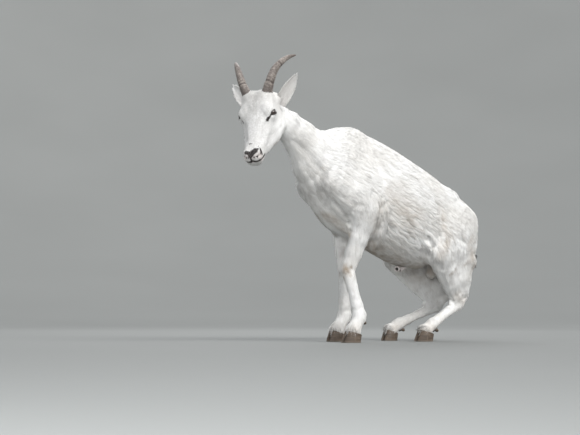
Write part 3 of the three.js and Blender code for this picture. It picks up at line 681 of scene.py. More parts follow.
MARK_KINDS = ("soil_and_shade", "grey_and_shade", "bare", "dark")
MARK_SOFTNESS = {"soil_and_shade": 1.0, "grey_and_shade": 1.0, "bare": 0.7, "dark": 0.35}
BODY_MARKS = [
    ("soil_and_shade", 0.30, 90, [(-200, -131, 550), (-130, -142, 470)]),
    ("soil_and_shade", 0.32, 40, [(-257, -129, 532), (-270, -129, 477), (-259, -70, 392)]),
    ("soil_and_shade", 0.55, 34, [(-449, -20, 480), (-429, -35, 463), (-357, -57, 408)]),
    # Brown under the belly: part stain, part painted shade on the underside
    ("soil_and_shade", 0.75, 130, [(-240, 0, 360), (-60, 0, 310), (70, 0, 290)]),
    ("soil_and_shade", 0.42, 44, [(23, -140, 499), (48, -146, 414), (10, -150, 340)]),
    ("soil_and_shade", 0.5, 52, [(250, -84, 300), (221, -104, 340), (205, -119, 389)]),
    ("soil_and_shade", 0.6, 10, [(80, -131, 265), (140, -125, 290), (221, -104, 326)]),
    ("soil_and_shade", 0.4, 40, [(150, -80, 190), (215, -60, 160)]),
    # Painted shade: the next seven grey courses lie in the jugular groove, down the front of the chest,
    # above the forearm, in the brisket folds, behind the elbow, in the flank fold and under the belly
    ("grey_and_shade", 0.34, 46, [(-577, -60, 762), (-553, -60, 708), (-506, -65, 636), (-494, -60, 560)]),
    ("grey_and_shade", 0.3, 60, [(-500, 0, 640), (-490, 0, 560)]),
    ("grey_and_shade", 0.34, 34, [(-398, -118, 526), (-376, -119, 509), (-334, -132, 512)]),
    ("grey_and_shade", 0.5, 13, [(-449, -81, 526), (-410, -84, 490), (-375, -75, 456)]),
    ("grey_and_shade", 0.34, 14, [(-257, -131, 532), (-270, -129, 477), (-259, -70, 392)]),
    ("grey_and_shade", 0.6, 16, [(-30, -129, 354), (-12, -125, 320), (8, -149, 308)]),
    ("grey_and_shade", 0.45, 70, [(101, 0, 300), (60, -30, 320)]),
    ("grey_and_shade", 0.28, 26, [(80, -131, 240), (140, -86, 215)]),
]
BODY_MARKS_ONCE = [
    ("soil_and_shade", 0.95, 27, [(-373, -57, 279), (-370, -57, 266)]),
    ("soil_and_shade", 0.9, 12, [(-357, -66, 255)]),
    ("soil_and_shade", 0.9, 12, [(-371, -41, 244)]),
    ("soil_and_shade", 0.9, 12, [(-357, -69, 288)]),
    ("soil_and_shade", 0.7, 27, [(-322, 57, 280), (-318, 57, 266)]),
]
HEAD_MARKS = [
    # Painted shade: the whole face a little greyer than the body
    ("grey_and_shade", 0.44, 170, [(60, 0, 0), (235, 0, -40)]),
    # Painted shade: near black inside the nostrils' dents
    ("dark", 1.0, 6.6, [(230, -26, -43), (236, -30, -46), (244, -33, -56)]),
    ("dark", 1.0, 6.4, [(258, -18, -50)]),
    ("dark", 0.9, 4.2, [(263, -10, -45)]),
    (
        "dark", 1.0, 5.6,
        [(270, 0, -56), (268, -9, -62), (263, -24, -63), (243, -31, -71), (226, -34, -81)],
    ),
    ("bare", 0.32, 20, [(256, 0, -46), (250, -24, -52)]),
    ("bare", 0.4, 8, [(270, 0, -60), (256, -29, -68), (231, -34, -78)]),
    ("grey_and_shade", 0.5, 24, [(252, 0, -88), (236, 0, -100)]),
    ("grey_and_shade", 0.45, 14, [(248, -24, -78), (226, -31, -88)]),
    # Painted shade: under the eye, in the creases of the cheek and the mouth's corner, and faint tuft
    # shadows on the forehead
    ("grey_and_shade", 0.35, 9, [(108, -56, -42), (88, -66, -50), (70, -68, -52)]),
    ("grey_and_shade", 0.6, 5.5, [(177, -35, -43), (168, -39, -48), (160, -42, -56)]),
    ("grey_and_shade", 0.6, 5.5, [(156, -43, -64), (144, -47, -76), (131, -49, -87)]),
    ("grey_and_shade", 0.3, 7, [(205, -35, -60), (190, -37, -72), (176, -39, -88)]),
    ("grey_and_shade", 0.2, 5, [(72, -8, 2), (64, -14, 2), (58, -22, 0)]),
    ("grey_and_shade", 0.2, 5, [(84, -24, -3), (76, -32, -3)]),
    ("grey_and_shade", 0.2, 6, [(96, -34, -10), (88, -42, -12)]),
    # Painted shade where the ear's root meets the head
    ("grey_and_shade", 0.6, 14, [(-12, -66, -80), (-10, -78, -92)]),
    ("soil_and_shade", 0.7, 15, [(150, -36, -128), (118, -44, -142), (80, -50, -156), (56, -54, -160)]),
]
HEAD_MARKS_ONCE = [
    ("dark", 1.0, 12.5, [(243, 15, -33), (249, 4, -36), (256, -3, -40)]),
    ("dark", 1.0, 8.5, [(247, -21, -33), (250, -6, -36)]),
    ("dark", 1.0, 5.0, [(239, 21, -33), (236, 24, -34)]),
    ("dark", 1.0, 4.0, [(258, -3, -41), (268, -3, -51), (270, 0, -57)]),
    ("dark", 0.9, 4.4, [(212, -9, -31), (214, -2, -30)]),
    ("dark", 0.5, 3.6, [(225, 24, -36)]),
    ("dark", 1.0, 6.6, [(84, 56, -33), (94, 53, -31), (104, 48, -30), (112, 43, -33)]),
    ("dark", 1.0, 7.6, [(112, 43, -33)]),
    ("dark", 0.7, 4.5, [(84, -56, -33), (102, -49, -30), (110, -44, -32)]),
]


def marks_at(points):
    """How strong each kind of mark is at each point."""
    body = in_body(points)
    head = own(points, HEAD)
    all_over = np.ones(len(points), bool)
    near = lengths(head - HEAD_MIDDLE) < HEAD_REACH
    masks = np.zeros((len(points), 4))
    for table, places, chosen, sides in (
        (BODY_MARKS, body, all_over, (1, -1)),
        (BODY_MARKS_ONCE, body, all_over, (1,)),
        (HEAD_MARKS, head, near, (1, -1)),
        (HEAD_MARKS_ONCE, head, near, (1,)),
    ):
        for kind, strength, radius, course in table:
            mask = masks[:, MARK_KINDS.index(kind)]
            for side in sides:
                share = patch(places[chosen], flipped(course, side), radius, MARK_SOFTNESS[kind])
                mask[chosen] = np.maximum(mask[chosen], strength * share)
    low = FOOT_SOIL * smoothstep((FOOT_SOIL_TOP - body[:, 2]) / FOOT_SOIL_FADE)
    masks[:, 0] = np.maximum(masks[:, 0], low)
    for name in SIDES:
        eye = own(points, eye_matrix(name))
        rim = smoothstep((RIM_WIDTH - lid_line(eye)) / RIM_FADE) * (lengths(eye) < RIM_REACH)
        masks[:, 3] = np.maximum(masks[:, 3], rim)
    return masks


# The skin


FLESH = ["head", "neck", "torso", "tail", "scrotum"] + [
    f"{leg}_{name}_{part}"
    for name in SIDES
    for leg, sections in (("foreleg", ("upper", "lower")), ("hindleg", ("thigh", "gaskin", "lower")))
    for part in sections
]

# Coat by part, in millimetres: depth, length, width and spacing of the tufts, then their lift, how
# much they lean together in clumps, how far they swing and how much their tone differs, which also
# scales the painted shade at their roots
COAT = {
    "head": (1.5, 7.0, 1.2, 2.2, 0.09, 0.12, 0.10, 0.22),
    "neck": (3.6, 16.0, 1.8, 2.9, 0.08, 0.22, 0.08, 0.27),
    "torso": (4.0, 18.0, 2.0, 3.2, 0.09, 0.30, 0.08, 0.36),
    "tail": (4.5, 13.0, 2.0, 2.9, 0.10, 0.35, 0.12, 0.4),
    "scrotum": (1.5, 7.0, 1.5, 2.8, 0.12, 0.2, 0.1, 0.4),
    "foreleg_upper": (3.0, 14.0, 1.7, 2.8, 0.09, 0.25, 0.07, 0.34),
    "foreleg_lower": (1.8, 9.0, 1.4, 2.5, 0.10, 0.15, 0.06, 0.3),
    "hindleg_thigh": (3.6, 16.0, 1.9, 3.1, 0.09, 0.30, 0.08, 0.36),
    "hindleg_gaskin": (3.0, 14.0, 1.7, 2.8, 0.09, 0.25, 0.08, 0.34),
    "hindleg_lower": (1.8, 9.0, 1.4, 2.5, 0.10, 0.15, 0.06, 0.3),
}
DEPTH, LENGTH, WIDTH, SPACING, LIFT, CLUMP, SWING, CONTRAST = range(8)

# Where the coat differs inside a part: a column, a factor, a radius and a course, as for the marks
FLANK = [(-190, -131, 450), (-110, -142, 450), (-20, -142, 440)]
BODY_COAT = [
    (LENGTH, 1.45, 170, [(-190, -131, 450), (-110, -142, 450), (-30, -142, 420)]),
    (CLUMP, 2.4, 190, FLANK),
    (SWING, 2.6, 190, FLANK),
    (CONTRAST, 2.2, 200, FLANK),
    (LIFT, 1.7, 160, [(-190, -131, 450), (-60, -142, 420)]),
    (LENGTH, 1.4, 60, [(-200, 0, 350), (60, 0, 300)]),
    (CONTRAST, 1.5, 60, [(-553, -60, 708), (-494, -60, 560)]),
]
HEAD_COAT = [
    (LENGTH, 1.6, 52, [(14, -20, 4), (44, 0, 6), (70, -12, 0)]),
    (LIFT, 1.4, 50, [(10, -22, 4), (44, 0, 6), (66, -10, 0)]),
    (SWING, 2.2, 54, [(10, -22, 4), (44, 0, 6), (70, -10, 0)]),
    (CONTRAST, 1.2, 60, [(10, -22, 4), (44, 0, 6), (90, -20, -6)]),
    (LENGTH, 1.9, 60, [(30, -58, -120), (0, -56, -100)]),
    (LENGTH, 1.3, 22, [(238, -10, -98), (240, 10, -98)]),
    (LENGTH, 0.55, 44, [(250, 0, -50), (250, 0, -40)]),
    (LENGTH, 0.5, 32, [(84, -66, -34)]),
    (DEPTH, 0.05, 38, [(-13, -64, -72), (-20, -72, -70)]),
    (DEPTH, 0.05, 40, [(8, -35, -20)]),
    (LENGTH, 1.5, 40, [(-13, -64, -72)]),
    (LENGTH, 1.4, 38, [(8, -35, -20)]),
]

# Folds and muscles: a height in millimetres, out of the body or into it, a radius and a course
BODY_FORMS = [
    (-5.0, 24, [(-605, -44, 735), (-553, -60, 700), (-506, -72, 636), (-486, -66, 560)]),
    (3.5, 22, [(-618, -20, 700), (-560, -24, 640), (-520, -30, 590)]),
    (5.0, 34, [(-494, -70, 585), (-470, -90, 590)]),
    (-5.0, 13, [(-452, -78, 530), (-420, -84, 497), (-388, -78, 462)]),
    (-4.0, 20, [(-374, -72, 444), (-362, -72, 424)]),
    (3.0, 14, [(-446, -66, 500), (-418, -72, 476), (-400, -72, 460)]),
    (-3.0, 20, [(-402, -118, 536), (-378, -120, 510), (-352, -126, 508)]),
    (2.0, 34, [(-440, -108, 590), (-380, -124, 566), (-320, -134, 566)]),
    (-3.6, 17, [(-256, -131, 540), (-264, -131, 490), (-266, -118, 450), (-259, -84, 400)]),
    (-4.0, 20, [(-232, -124, 524), (-236, -120, 477), (-228, -98, 432)]),
    (-3.5, 30, [(-330, -70, 760), (-270, -110, 690), (-238, -128, 610)]),
    (3.0, 20, [(-352, -40, 790), (-395, -84, 700), (-430, -104, 620)]),
    (-3.0, 34, [(20, -136, 520), (40, -146, 450), (24, -150, 390)]),
    (-4.0, 22, [(-44, -118, 350), (-18, -124, 326), (10, -142, 306), (30, -134, 280)]),
    (-5.0, 26, [(-38, -132, 388), (-22, -136, 362)]),
    (-2.0, 30, [(130, -120, 470), (170, -124, 400), (190, -112, 340)]),
    (3.0, 30, [(118, -78, 590), (150, -84, 570)]),
    (-3.0, 12, [(150, -92, 230), (168, -84, 190), (186, -66, 160)]),
]
HEAD_FORMS = [
    (-6.5, 6.0, [(236, -33, -43), (243, -34, -48), (252, -29, -51), (261, -20, -47)]),
    (1.8, 5.5, [(234, -28, -36), (246, -25, -41), (258, -14, -42)]),
    (1.6, 5.0, [(243, -36, -55), (256, -28, -57), (264, -14, -54)]),
    (-2.6, 4.0, [(271, 0, -57), (269, -15, -62), (257, -30, -66), (232, -36, -75), (214, -38, -78)]),
    (1.5, 6.0, [(268, 0, -66), (258, -22, -72), (240, -32, -80)]),
    (-1.6, 3.4, [(256, 0, -44), (266, 0, -50), (270, 0, -56)]),
    (-1.8, 4.5, [(178, -37, -44), (168, -41, -49), (158, -44, -58)]),
    (1.2, 4.5, [(176, -38, -52), (164, -43, -60)]),
    (-1.9, 4.8, [(156, -45, -65), (144, -49, -77), (130, -51, -88)]),
    (1.3, 5.0, [(150, -46, -58), (136, -50, -70)]),
    (-1.4, 6.0, [(205, -37, -62), (188, -39, -76), (172, -41, -92)]),
    (-5.5, 24.0, [(136, -42, -34), (160, -39, -36), (192, -32, -38)]),
    (1.6, 16.0, [(92, -48, -16), (76, -56, -12)]),
    (-1.0, 16.0, [(70, 0, 4), (40, 0, 8)]),
    (1.4, 14.0, [(84, -34, -2), (62, -42, -4)]),
    (-2.0, 16.0, [(92, -58, -84), (60, -60, -96)]),
    (2.4, 16.0, [(120, -46, -112), (84, -58, -128), (52, -60, -126)]),
    (12.0, 38.0, [(176, -18, -98), (124, -26, -126), (78, -34, -144), (48, -46, -142)]),
    (10.0, 36.0, [(60, -58, -126), (24, -62, -104)]),
]


def part_of(node):
    for name in SIDES:
        node = node.replace(f"_{name}", "")
    return node


def nearest_parts(points):
    """For each point, the CAD node whose surface is nearest."""
    names = sorted(FLESH)
    places, owners = [], []
    for index, node in enumerate(names):
        mesh = CAD[node].data
        spots = vertex_places(mesh)
        corners = fetched(mesh.loops, "vertex_index", 1, np.int32)
        centres = spots[corners].reshape(-1, 3, 3).mean(1)
        spots = np.unique(np.round(np.concatenate([spots, centres]), 6), axis=0)
        places.append(spots)
        owners.append(np.full(len(spots), index))
    places, owners = np.concatenate(places), np.concatenate(owners)
    tree = KDTree(len(places))
    for index, spot in enumerate(places):
        tree.insert(spot, index)
    tree.balance()
    found = np.array([owners[tree.find(point)[1]] for point in points])
    return names, found


# Which way the hair lies on each part, in the body's own axes. On the head it lies backwards
LIES = {
    "neck": (0.80, 0, -0.60),
    "torso": (0.88, 0, -0.47),
    "tail": (0.15, 0, -1),
    "scrotum": (0, 0, -1),
    "foreleg_upper": (0.05, 0, -1),
    "foreleg_lower": (0.05, 0, -1),
    "hindleg_thigh": (0.45, 0, -0.9),
    "hindleg_gaskin": (0.35, 0, -0.9),
    "hindleg_lower": (-0.85, 0, -0.45),
}


def lie_of(node):
    if node == "head":
        return -(HEAD.to_3x3() @ Vector((1, 0, 0)))
    return Vector(LIES[part_of(node)]).normalized()


def subdivide_near(piece, centre, radius):
    """Splits the faces near a point, for finer forms there."""
    mesh = piece.data
    near = lengths(fetched(mesh.polygons, "center", 3) - np.array(centre)) < radius
    only(piece)
    bpy.ops.object.mode_set(mode="EDIT")
    bpy.ops.mesh.select_mode(type="FACE")
    bpy.ops.mesh.select_all(action="DESELECT")
    bpy.ops.object.mode_set(mode="OBJECT")
    mesh.polygons.foreach_set("select", near)
    bpy.ops.object.mode_set(mode="EDIT")
    bpy.ops.mesh.subdivide(number_cuts=1, smoothness=0.0)
    bpy.ops.object.mode_set(mode="OBJECT")


def skin_blank():
    """One closed surface over all the flesh, smooth, without seams."""
    piece = merged_copy(FLESH + ["eye_left", "eye_right"], "skin")
    apply_modifier(piece, "REMESH", mode="VOXEL", voxel_size=SKIN_VOXEL)
    mesh = piece.data
    shell = bmesh.new()
    shell.from_mesh(mesh)
    islands, seen = [], set()
    for start in shell.verts:
        if start in seen:
            continue
        island, queue = [], [start]
        seen.add(start)
        while queue:
            vertex = queue.pop()
            island.append(vertex)
            for edge in vertex.link_edges:
                other = edge.other_vert(vertex)
                if other not in seen:
                    seen.add(other)
                    queue.append(other)
        islands.append(island)
    islands.sort(key=len)
    for island in islands[:-1]:
        bmesh.ops.delete(shell, geom=island, context="VERTS")
    shell.to_mesh(mesh)
    shell.free()
    return piece


def carve(places, points, normals, forms):
    """Raises and lowers a surface along courses, the same on both sides."""
    for height, radius, course in forms:
        for side in (1, -1):
            share = patch(places, flipped(course, side), radius)
            points = points + normals * (share * height / 1000)[:, None]
    return points


def lid_line(eye):
    """How far a point is outside the opening of the lids, in the eye's own millimetres."""
    top = (LID_HALF_LENGTH**2 + LID_RISE**2) / (2 * LID_RISE)
    low = (LID_HALF_LENGTH**2 + LID_DROP**2) / (2 * LID_DROP)
    along = eye[:, 0] - LID_SHIFT
    over = np.hypot(along, eye[:, 1] - (LID_RISE - top)) - top
    under = np.hypot(along, eye[:, 1] - (low - LID_DROP)) - low
    return np.maximum(over, under)


def shape_lids(points):
    """Lays the skin round each eye over the eyeball, with an opening between two lids."""
    for name in SIDES:
        matrix = eye_matrix(name)
        eye = own(points, matrix)
        far = lengths(eye)
        aside = np.hypot(eye[:, 0], eye[:, 1])
        outside = lid_line(eye)
        near = (eye[:, 2] > 1) & (aside < LID_FIELD) & (far < LID_FIELD_DEPTH)
        crease = hump(outside, *CREASE) * (eye[:, 1] > 0)
        bag = hump(outside, *BAG) * (eye[:, 1] < 0)
        lid = np.interp(outside, LID_STEPS, LID_DEPTHS)
        fade = (LID_BLEND_END - outside) / (LID_BLEND_END - LID_BLEND_START)
        aim = lid + (far - lid) * (1 - smoothstep(fade) * near) - crease - bag
        ratio = np.where(near, aim / np.maximum(far, 1), 1)
        turned = np.array(matrix)
        moved = (eye * ratio[:, None]) / 1000 @ turned[:3, :3].T + turned[:3, 3]
        points = np.where(near[:, None], moved, points)
    return points


def coat_at(points, owner, names):
    """The rows of the coat's table at each point, with what differs inside the parts."""
    rows = np.array([COAT[part_of(n)] for n in names])[owner]
    head = np.array(names)[owner] == "head"
    for table, places, chosen in (
        (BODY_COAT, in_body(points), ~head),
        (HEAD_COAT, own(points, HEAD), head),
    ):
        for column, factor, radius, course in table:
            for side in (1, -1):
                share = patch(places, flipped(course, side), radius) * chosen
                rows[:, column] *= 1 + (factor - 1) * share
    for node in sorted(CAD):
        if node.startswith("hoof"):
            top = middle(node)
            top.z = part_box(node)[1].z
            near = smoothstep((HOOF_FRINGE - lengths(points - np.array(top))) / FRINGE_FADE)
            rows[:, DEPTH] *= 1 - FRINGE_GROWTH * near
            rows[:, LENGTH] *= 1 + FRINGE_GROWTH * near
    return rows


def build_skin(looks):
    """The skin, and for its vertices the names of the parts, each one's owner and its hair."""
    piece = skin_blank()
    mesh = piece.data
    points = vertex_places(mesh)
    pairs = edge_pairs(mesh)
    names, owner = nearest_parts(points)
    broad = np.array([float(part_of(name) in BROAD_PARTS) for name in names])
    weight = spread(broad[owner], pairs, BROAD_BLEND)
    points = even_out(points, pairs, SKIN_ROUNDS, np.ones(len(points)))
    points = even_out(points, pairs, BROAD_ROUNDS, weight)
    set_vertex_places(mesh, points)
    points = carve(in_body(points), points, vertex_normals(mesh), BODY_FORMS)
    set_vertex_places(mesh, points)
    for centre, radius in FINER_PLACES:
        subdivide_near(piece, head_place(*centre), radius)
    points = vertex_places(mesh)
    pairs = edge_pairs(mesh)
    far = lengths(own(points, HEAD) - FACE_MIDDLE)
    points = even_out(points, pairs, FACE_ROUNDS, smoothstep((FACE_REACH - far) / FACE_FADE))
    names, owner = nearest_parts(points)
    coat = spread(coat_at(points, owner, names), pairs, COAT_ROUNDS)
    set_vertex_places(mesh, points)
    normals = vertex_normals(mesh)
    points = points - normals * coat[:, :1] / 1000
    points = carve(own(points, HEAD), points, normals, HEAD_FORMS)
    set_vertex_places(mesh, shape_lids(points))
    lie = np.array([lie_of(name) for name in names])[owner]
    lie = spread(lie, pairs, LIE_ROUNDS)
    marks = marks_at(vertex_places(mesh))
    set_attribute(mesh, "marks", marks)
    finish_piece(piece, looks, FLESH)
    return piece, names, owner, {"coat": coat, "lie": lie, "marks": marks}


# Hair tufts


def tuft_roots(mesh, coat, lie, density, seed):
    """Roots spread over a surface, and what each tuft needs there."""
    mesh.calc_loop_triangles()
    triangles = triangle_corners(mesh)
    points, normals = vertex_places(mesh), vertex_normals(mesh)
    first, second, third = points[triangles].transpose(1, 0, 2)
    areas = lengths(np.cross(second - first, third - first)) / 2
    spacing = coat[triangles, SPACING].mean(1) / 1000
    draw = np.random.default_rng(seed)
    wanted = areas / spacing**2 * density[triangles].mean(1) * TUFT_SHARE
    wanted = np.floor(wanted + draw.random(len(areas))).astype(int)
    face = np.repeat(np.arange(len(areas)), wanted)
    a, b = draw.random(len(face)), draw.random(len(face))
    flip = a + b > 1
    a[flip], b[flip] = 1 - a[flip], 1 - b[flip]
    weights = np.stack([1 - a - b, a, b], axis=1)
    corner = triangles[face]

    def at(values):
        return np.einsum("ij,ij...->i...", weights, values[corner])

    return {
        "root": at(points),
        "normal": unit(at(normals)),
        "lie": at(lie),
        "coat": at(coat),
        "vertex": corner[:, 0],
    }


def in_the_open(mesh, tufts):
    """Which roots have no skin close above them, so that no tuft grows through a fold."""
    tree = BVHTree.FromPolygons(vertex_places(mesh).tolist(), triangle_corners(mesh).tolist())
    ways = tufts["normal"]
    starts = tufts["root"] + ways * FOLD_START
    hits = [tree.ray_cast(start, way, FOLD_REACH)[0] for start, way in zip(starts, ways)]
    return np.array([hit is None for hit in hits])


def wave(points, scale, seed):
    """A smooth random number from -1 to 1 that changes over a length."""
    draw = np.random.default_rng(seed)
    total = np.zeros(len(points))
    for _ in range(WAVE_TERMS):
        way = unit(draw.normal(size=3)) * draw.uniform(0.6, 1.5) * 2 * math.pi / scale
        total += np.sin(points @ way + draw.uniform(0, 2 * math.pi))
    return total / 3.2


def find_clumps(root, lie, draw):
    """For each tuft, the middle of its clump. Clumps are longer along the lie than they are wide."""
    long = unit(lie.mean(0))
    squeezed = root - np.outer(root @ long, long) * CLUMP_SQUEEZE
    middles = np.nonzero(draw.random(len(root)) < CLUMP_SHARE)[0]
    tree = KDTree(len(middles))
    for index, middle in enumerate(middles):
        tree.insert(squeezed[middle], index)
    tree.balance()
    found = np.array([tree.find(spot)[1] for spot in squeezed])
    return root[middles][found], found, len(middles)


def tuft_mesh(name, places):
    """Closed slivers in one mesh, and which vertex of a sliver each corner of its faces is."""
    count = len(places) // TUFT_CORNERS
    loops = np.concatenate([np.array(face) for face in TUFT_FACES])
    sizes = np.array([len(face) for face in TUFT_FACES])
    mesh = bpy.data.meshes.new(name)
    mesh.vertices.add(len(places))
    mesh.vertices.foreach_set("co", places.astype(np.float32).ravel())
    mesh.loops.add(count * len(loops))
    all_loops = (loops[None, :] + TUFT_CORNERS * np.arange(count)[:, None]).ravel()
    mesh.loops.foreach_set("vertex_index", all_loops.astype(np.int32))
    mesh.polygons.add(count * len(sizes))
    starts = np.concatenate([[0], np.cumsum(np.tile(sizes, count))[:-1]])
    mesh.polygons.foreach_set("loop_start", starts.astype(np.int32))
    mesh.update(calc_edges=True)
    return mesh, loops


def build_coat(name, tufts, looks, seed):
    """Many tufts in one mesh. Each is a closed sliver that lies along the skin and lifts at its tip."""
    root, normal, lie = tufts["root"], tufts["normal"], tufts["lie"]
    _, length, width, _, lift, clump, swing, contrast = tufts["coat"].T
    draw = np.random.default_rng(seed)
    count = len(root)
    lie = unit(lie - normal * np.einsum("ij,ij->i", lie, normal)[:, None])
    across = np.cross(lie, normal)
    waves = 1.3 * wave(root, LONG_WAVE, 3) + wave(root, SHORT_WAVE, 4)
    turn = swing * (waves + draw.normal(0, 0.6, count))
    lie = lie * np.cos(turn)[:, None] + across * np.sin(turn)[:, None]
    across = np.cross(lie, normal)
    middle, which, clumps = find_clumps(root, lie, draw)
    to_middle = np.einsum("ij,ij->i", middle - root, across)
    own_tone = draw.normal(0, 0.5, clumps)[which]
    length = length / 1000 * np.clip(draw.normal(1, 0.16, count) + 0.12 * own_tone, 0.55, 1.5)
    width = width / 1000 * draw.uniform(0.75, 1.25, count)
    rise = length * lift * np.clip(1 + 0.35 * own_tone + draw.normal(0, 0.22, count), 0.2, 2.0)
    sink = width * TUFT_SINK
    ridge = width * TUFT_RIDGE
    pull = clump * np.clip(to_middle, -CLUMP_PULL, CLUMP_PULL)
    bend = draw.normal(0, 0.05, count) * length + pull
    rings = []
    for along, high, wide in TUFT_RINGS:
        height = -sink if high is None else rise * high
        centre = root + lie * (length * along)[:, None] + normal * height[:, None]
        centre = centre + across * (bend * along)[:, None]
        half = across * (width * wide / 2)[:, None]
        rings += [centre - half, centre + half, centre + normal * ridge[:, None]]
    tip = root + lie * length[:, None] + normal * rise[:, None] + across * bend[:, None]
    places = np.stack(rings + [tip], axis=1).reshape(-1, 3)
    places[:, 2] = np.maximum(places[:, 2], CLEAR_OF_FLOOR)
    mesh, loops = tuft_mesh(name, places)
    marks = tufts["marks"] if "marks" in tufts else marks_at(root)
    set_attribute(mesh, "marks", np.repeat(marks, TUFT_CORNERS, axis=0))
    # Tone differs at random by clump and tuft; the corner factors deepen it at the root as painted
    # shade
    tone = contrast * (0.3 + 0.5 * own_tone + draw.normal(0, 0.16, count))
    set_attribute(mesh, "tone", (np.clip(tone, 0, 0.9)[:, None] * TUFT_ROOT_SHADE).ravel())
    add_bake_map(mesh, root, loops)
    finish_piece(new_object(name, mesh), looks)
    rounded = clump * CLUMP_ROUND * np.clip(to_middle / CLUMP_REACH, -1, 1)
    lean = normal - across * rounded[:, None]
    sides = TUFT_SIDES * TUFT_ROUND
    facing = unit(lean[:, None, :] + across[:, None, :] * sides[None, :, None])
    mesh.normals_split_custom_set_from_vertices(facing.reshape(-1, 3).tolist())


def add_bake_map(mesh, root, loops):
    """Each tuft's patch, at its root's place on the skin opened out round the body's length."""
    low, high = root.min(0), root.max(0)
    size = high - low
    axis = int(np.argmax(size))
    first, second = [i for i in range(3) if i != axis]
    off = root - (low + high) / 2
    u = (np.arctan2(off[:, second], off[:, first]) / math.pi + 1) / 2
    v = (root[:, axis] - low[axis]) / size[axis]
    corner = TUFT_PLAN * TUFT_PATCH
    spots = np.stack([u, v], axis=1)[:, None, :] * 0.99 + 0.005 + corner[None]
    layer = mesh.uv_layers.new(name="OFBake")
    layer.uv.foreach_set("vector", spots[:, loops].astype(np.float32).ravel())


COAT_PIECES = {
    "coat_head": ["head"],
    "coat_neck": ["neck"],
    "coat_torso": ["torso", "scrotum"],
    "coat_tail": ["tail"],
}
for _name in SIDES:
    COAT_PIECES[f"coat_foreleg_{_name}"] = [f"foreleg_{_name}_upper", f"foreleg_{_name}_lower"]
    COAT_PIECES[f"coat_hindleg_{_name}"] = [
        f"hindleg_{_name}_thigh",
        f"hindleg_{_name}_gaskin",
        f"hindleg_{_name}_lower",
    ]


def build_all_coats(skin, names, owner, hair, looks):
    """The coat in lots of tufts, thinner on bare skin and round the eyes."""
    mesh = skin.data
    marks = hair["marks"]
    hairy = np.clip(1.15 - marks[:, 3] * 1.6 - marks[:, 2] * 0.9, 0, 1)
    for name in SIDES:
        eye = own(vertex_places(mesh), eye_matrix(name))
        hairy *= (lid_line(eye) > BARE_WIDTH) | (lengths(eye) > BARE_REACH)
    tufts = tuft_roots(mesh, hair["coat"], hair["lie"], hairy, ROOT_SEED)
    clear = in_the_open(mesh, tufts)
    tufts = {key: value[clear] for key, value in tufts.items()}
    node = np.array(names)[owner[tufts["vertex"]]]
    for index, (name, nodes) in enumerate(COAT_PIECES.items()):
        chosen = np.nonzero(np.isin(node, nodes))[0]
        along = tufts["root"][chosen, 0] + 0.3 * tufts["root"][chosen, 1]
        chosen = chosen[np.argsort(along)]
        lots = max(1, math.ceil(len(chosen) / MOST_TUFTS))
        for lot, share in enumerate(np.array_split(chosen, lots)):
            label = name if lots == 1 else f"{name}_{lot + 1}"
            picked = {key: value[share] for key, value in tufts.items()}
            build_coat(label, picked, looks, COAT_SEED + 10 * index + lot)


# Small pieces


def build_copies(looks):
    """Finer copies of the hooves and dew claws."""
    for node in sorted(CAD):
        if node.startswith(("hoof", "dewclaw")):
            piece = merged_copy([node], f"{node}_horn")
            if node.startswith("hoof"):
                apply_modifier(piece, "BEVEL", width=HOOF_BEVEL, segments=2, limit_method="ANGLE")
            else:
                subdivided(piece, 2)
            finish_piece(piece, looks, [node])


def build_ears(skin_looks, hair_looks):
    """Cupped ears, pinkish and greyish inside, greyer towards the root of the cup as painted shade,
    with short hair over both faces and along the rim.
    """
    for index, name in enumerate(SIDES):
        piece = merged_copy([f"ear_{name}"], f"ear_{name}_skin")
        subdivided(piece, 2)
        mesh = piece.data
        points, normals = vertex_places(mesh), vertex_normals(mesh)
        root, tip, opening = (Vector(p) for p in EARS[name])
        turn = np.array(HEAD.to_3x3())
        inside = smoothstep((normals @ (turn @ np.array(opening.normalized())) - 0.1) / 0.6)
        axis = unit(turn @ np.array(tip - root))
        along = own(points, HEAD) @ np.array((tip - root).normalized())
        along = (along - along.min()) / np.ptp(along)
        points = points + normals * EAR_THICKER
        set_vertex_places(mesh, points)
        marks = np.zeros((len(points), 4))
        # Grey inside the cup, deepest towards its root: painted shade in the hollow
        marks[:, 1] = 0.03 * inside + 0.5 * inside * smoothstep((0.26 - along) / 0.26)
        marks[:, 2] = 0.07 * inside * smoothstep((0.95 - along) / 0.3)
        set_attribute(mesh, "marks", marks)
        finish_piece(piece, skin_looks, [f"ear_{name}"])
        coat = np.tile(np.array(EAR_COAT), (len(points), 1))
        coat[:, LENGTH] *= 1 + 0.5 * inside
        lie = np.tile(axis, (len(points), 1))
        tufts = tuft_roots(mesh, coat, lie, 1 - 0.45 * inside, EAR_ROOT_SEED + index)
        tufts["marks"] = marks[tufts["vertex"]]
        build_coat(f"coat_ear_{name}", tufts, hair_looks, EAR_COAT_SEED + index)


def horn_middle(side):
    """Places along the middle of a horn, on one smooth curve through its course."""
    knots = np.array([head_place(*knot) for knot in flipped(HORN_COURSE, side)])
    knots = np.concatenate([[2 * knots[0] - knots[1]], knots, [2 * knots[-1] - knots[-2]]])
    t = np.linspace(0, 1, HORN_STEPS, endpoint=False)[:, None]
    spans = []
    for a, b, c, d in zip(knots, knots[1:], knots[2:], knots[3:]):
        bend = 2 * a - 5 * b + 4 * c - d
        spans.append(b + 0.5 * t * (c - a + t * (bend + t * (3 * (b - c) + d - a))))
    return np.concatenate(spans)


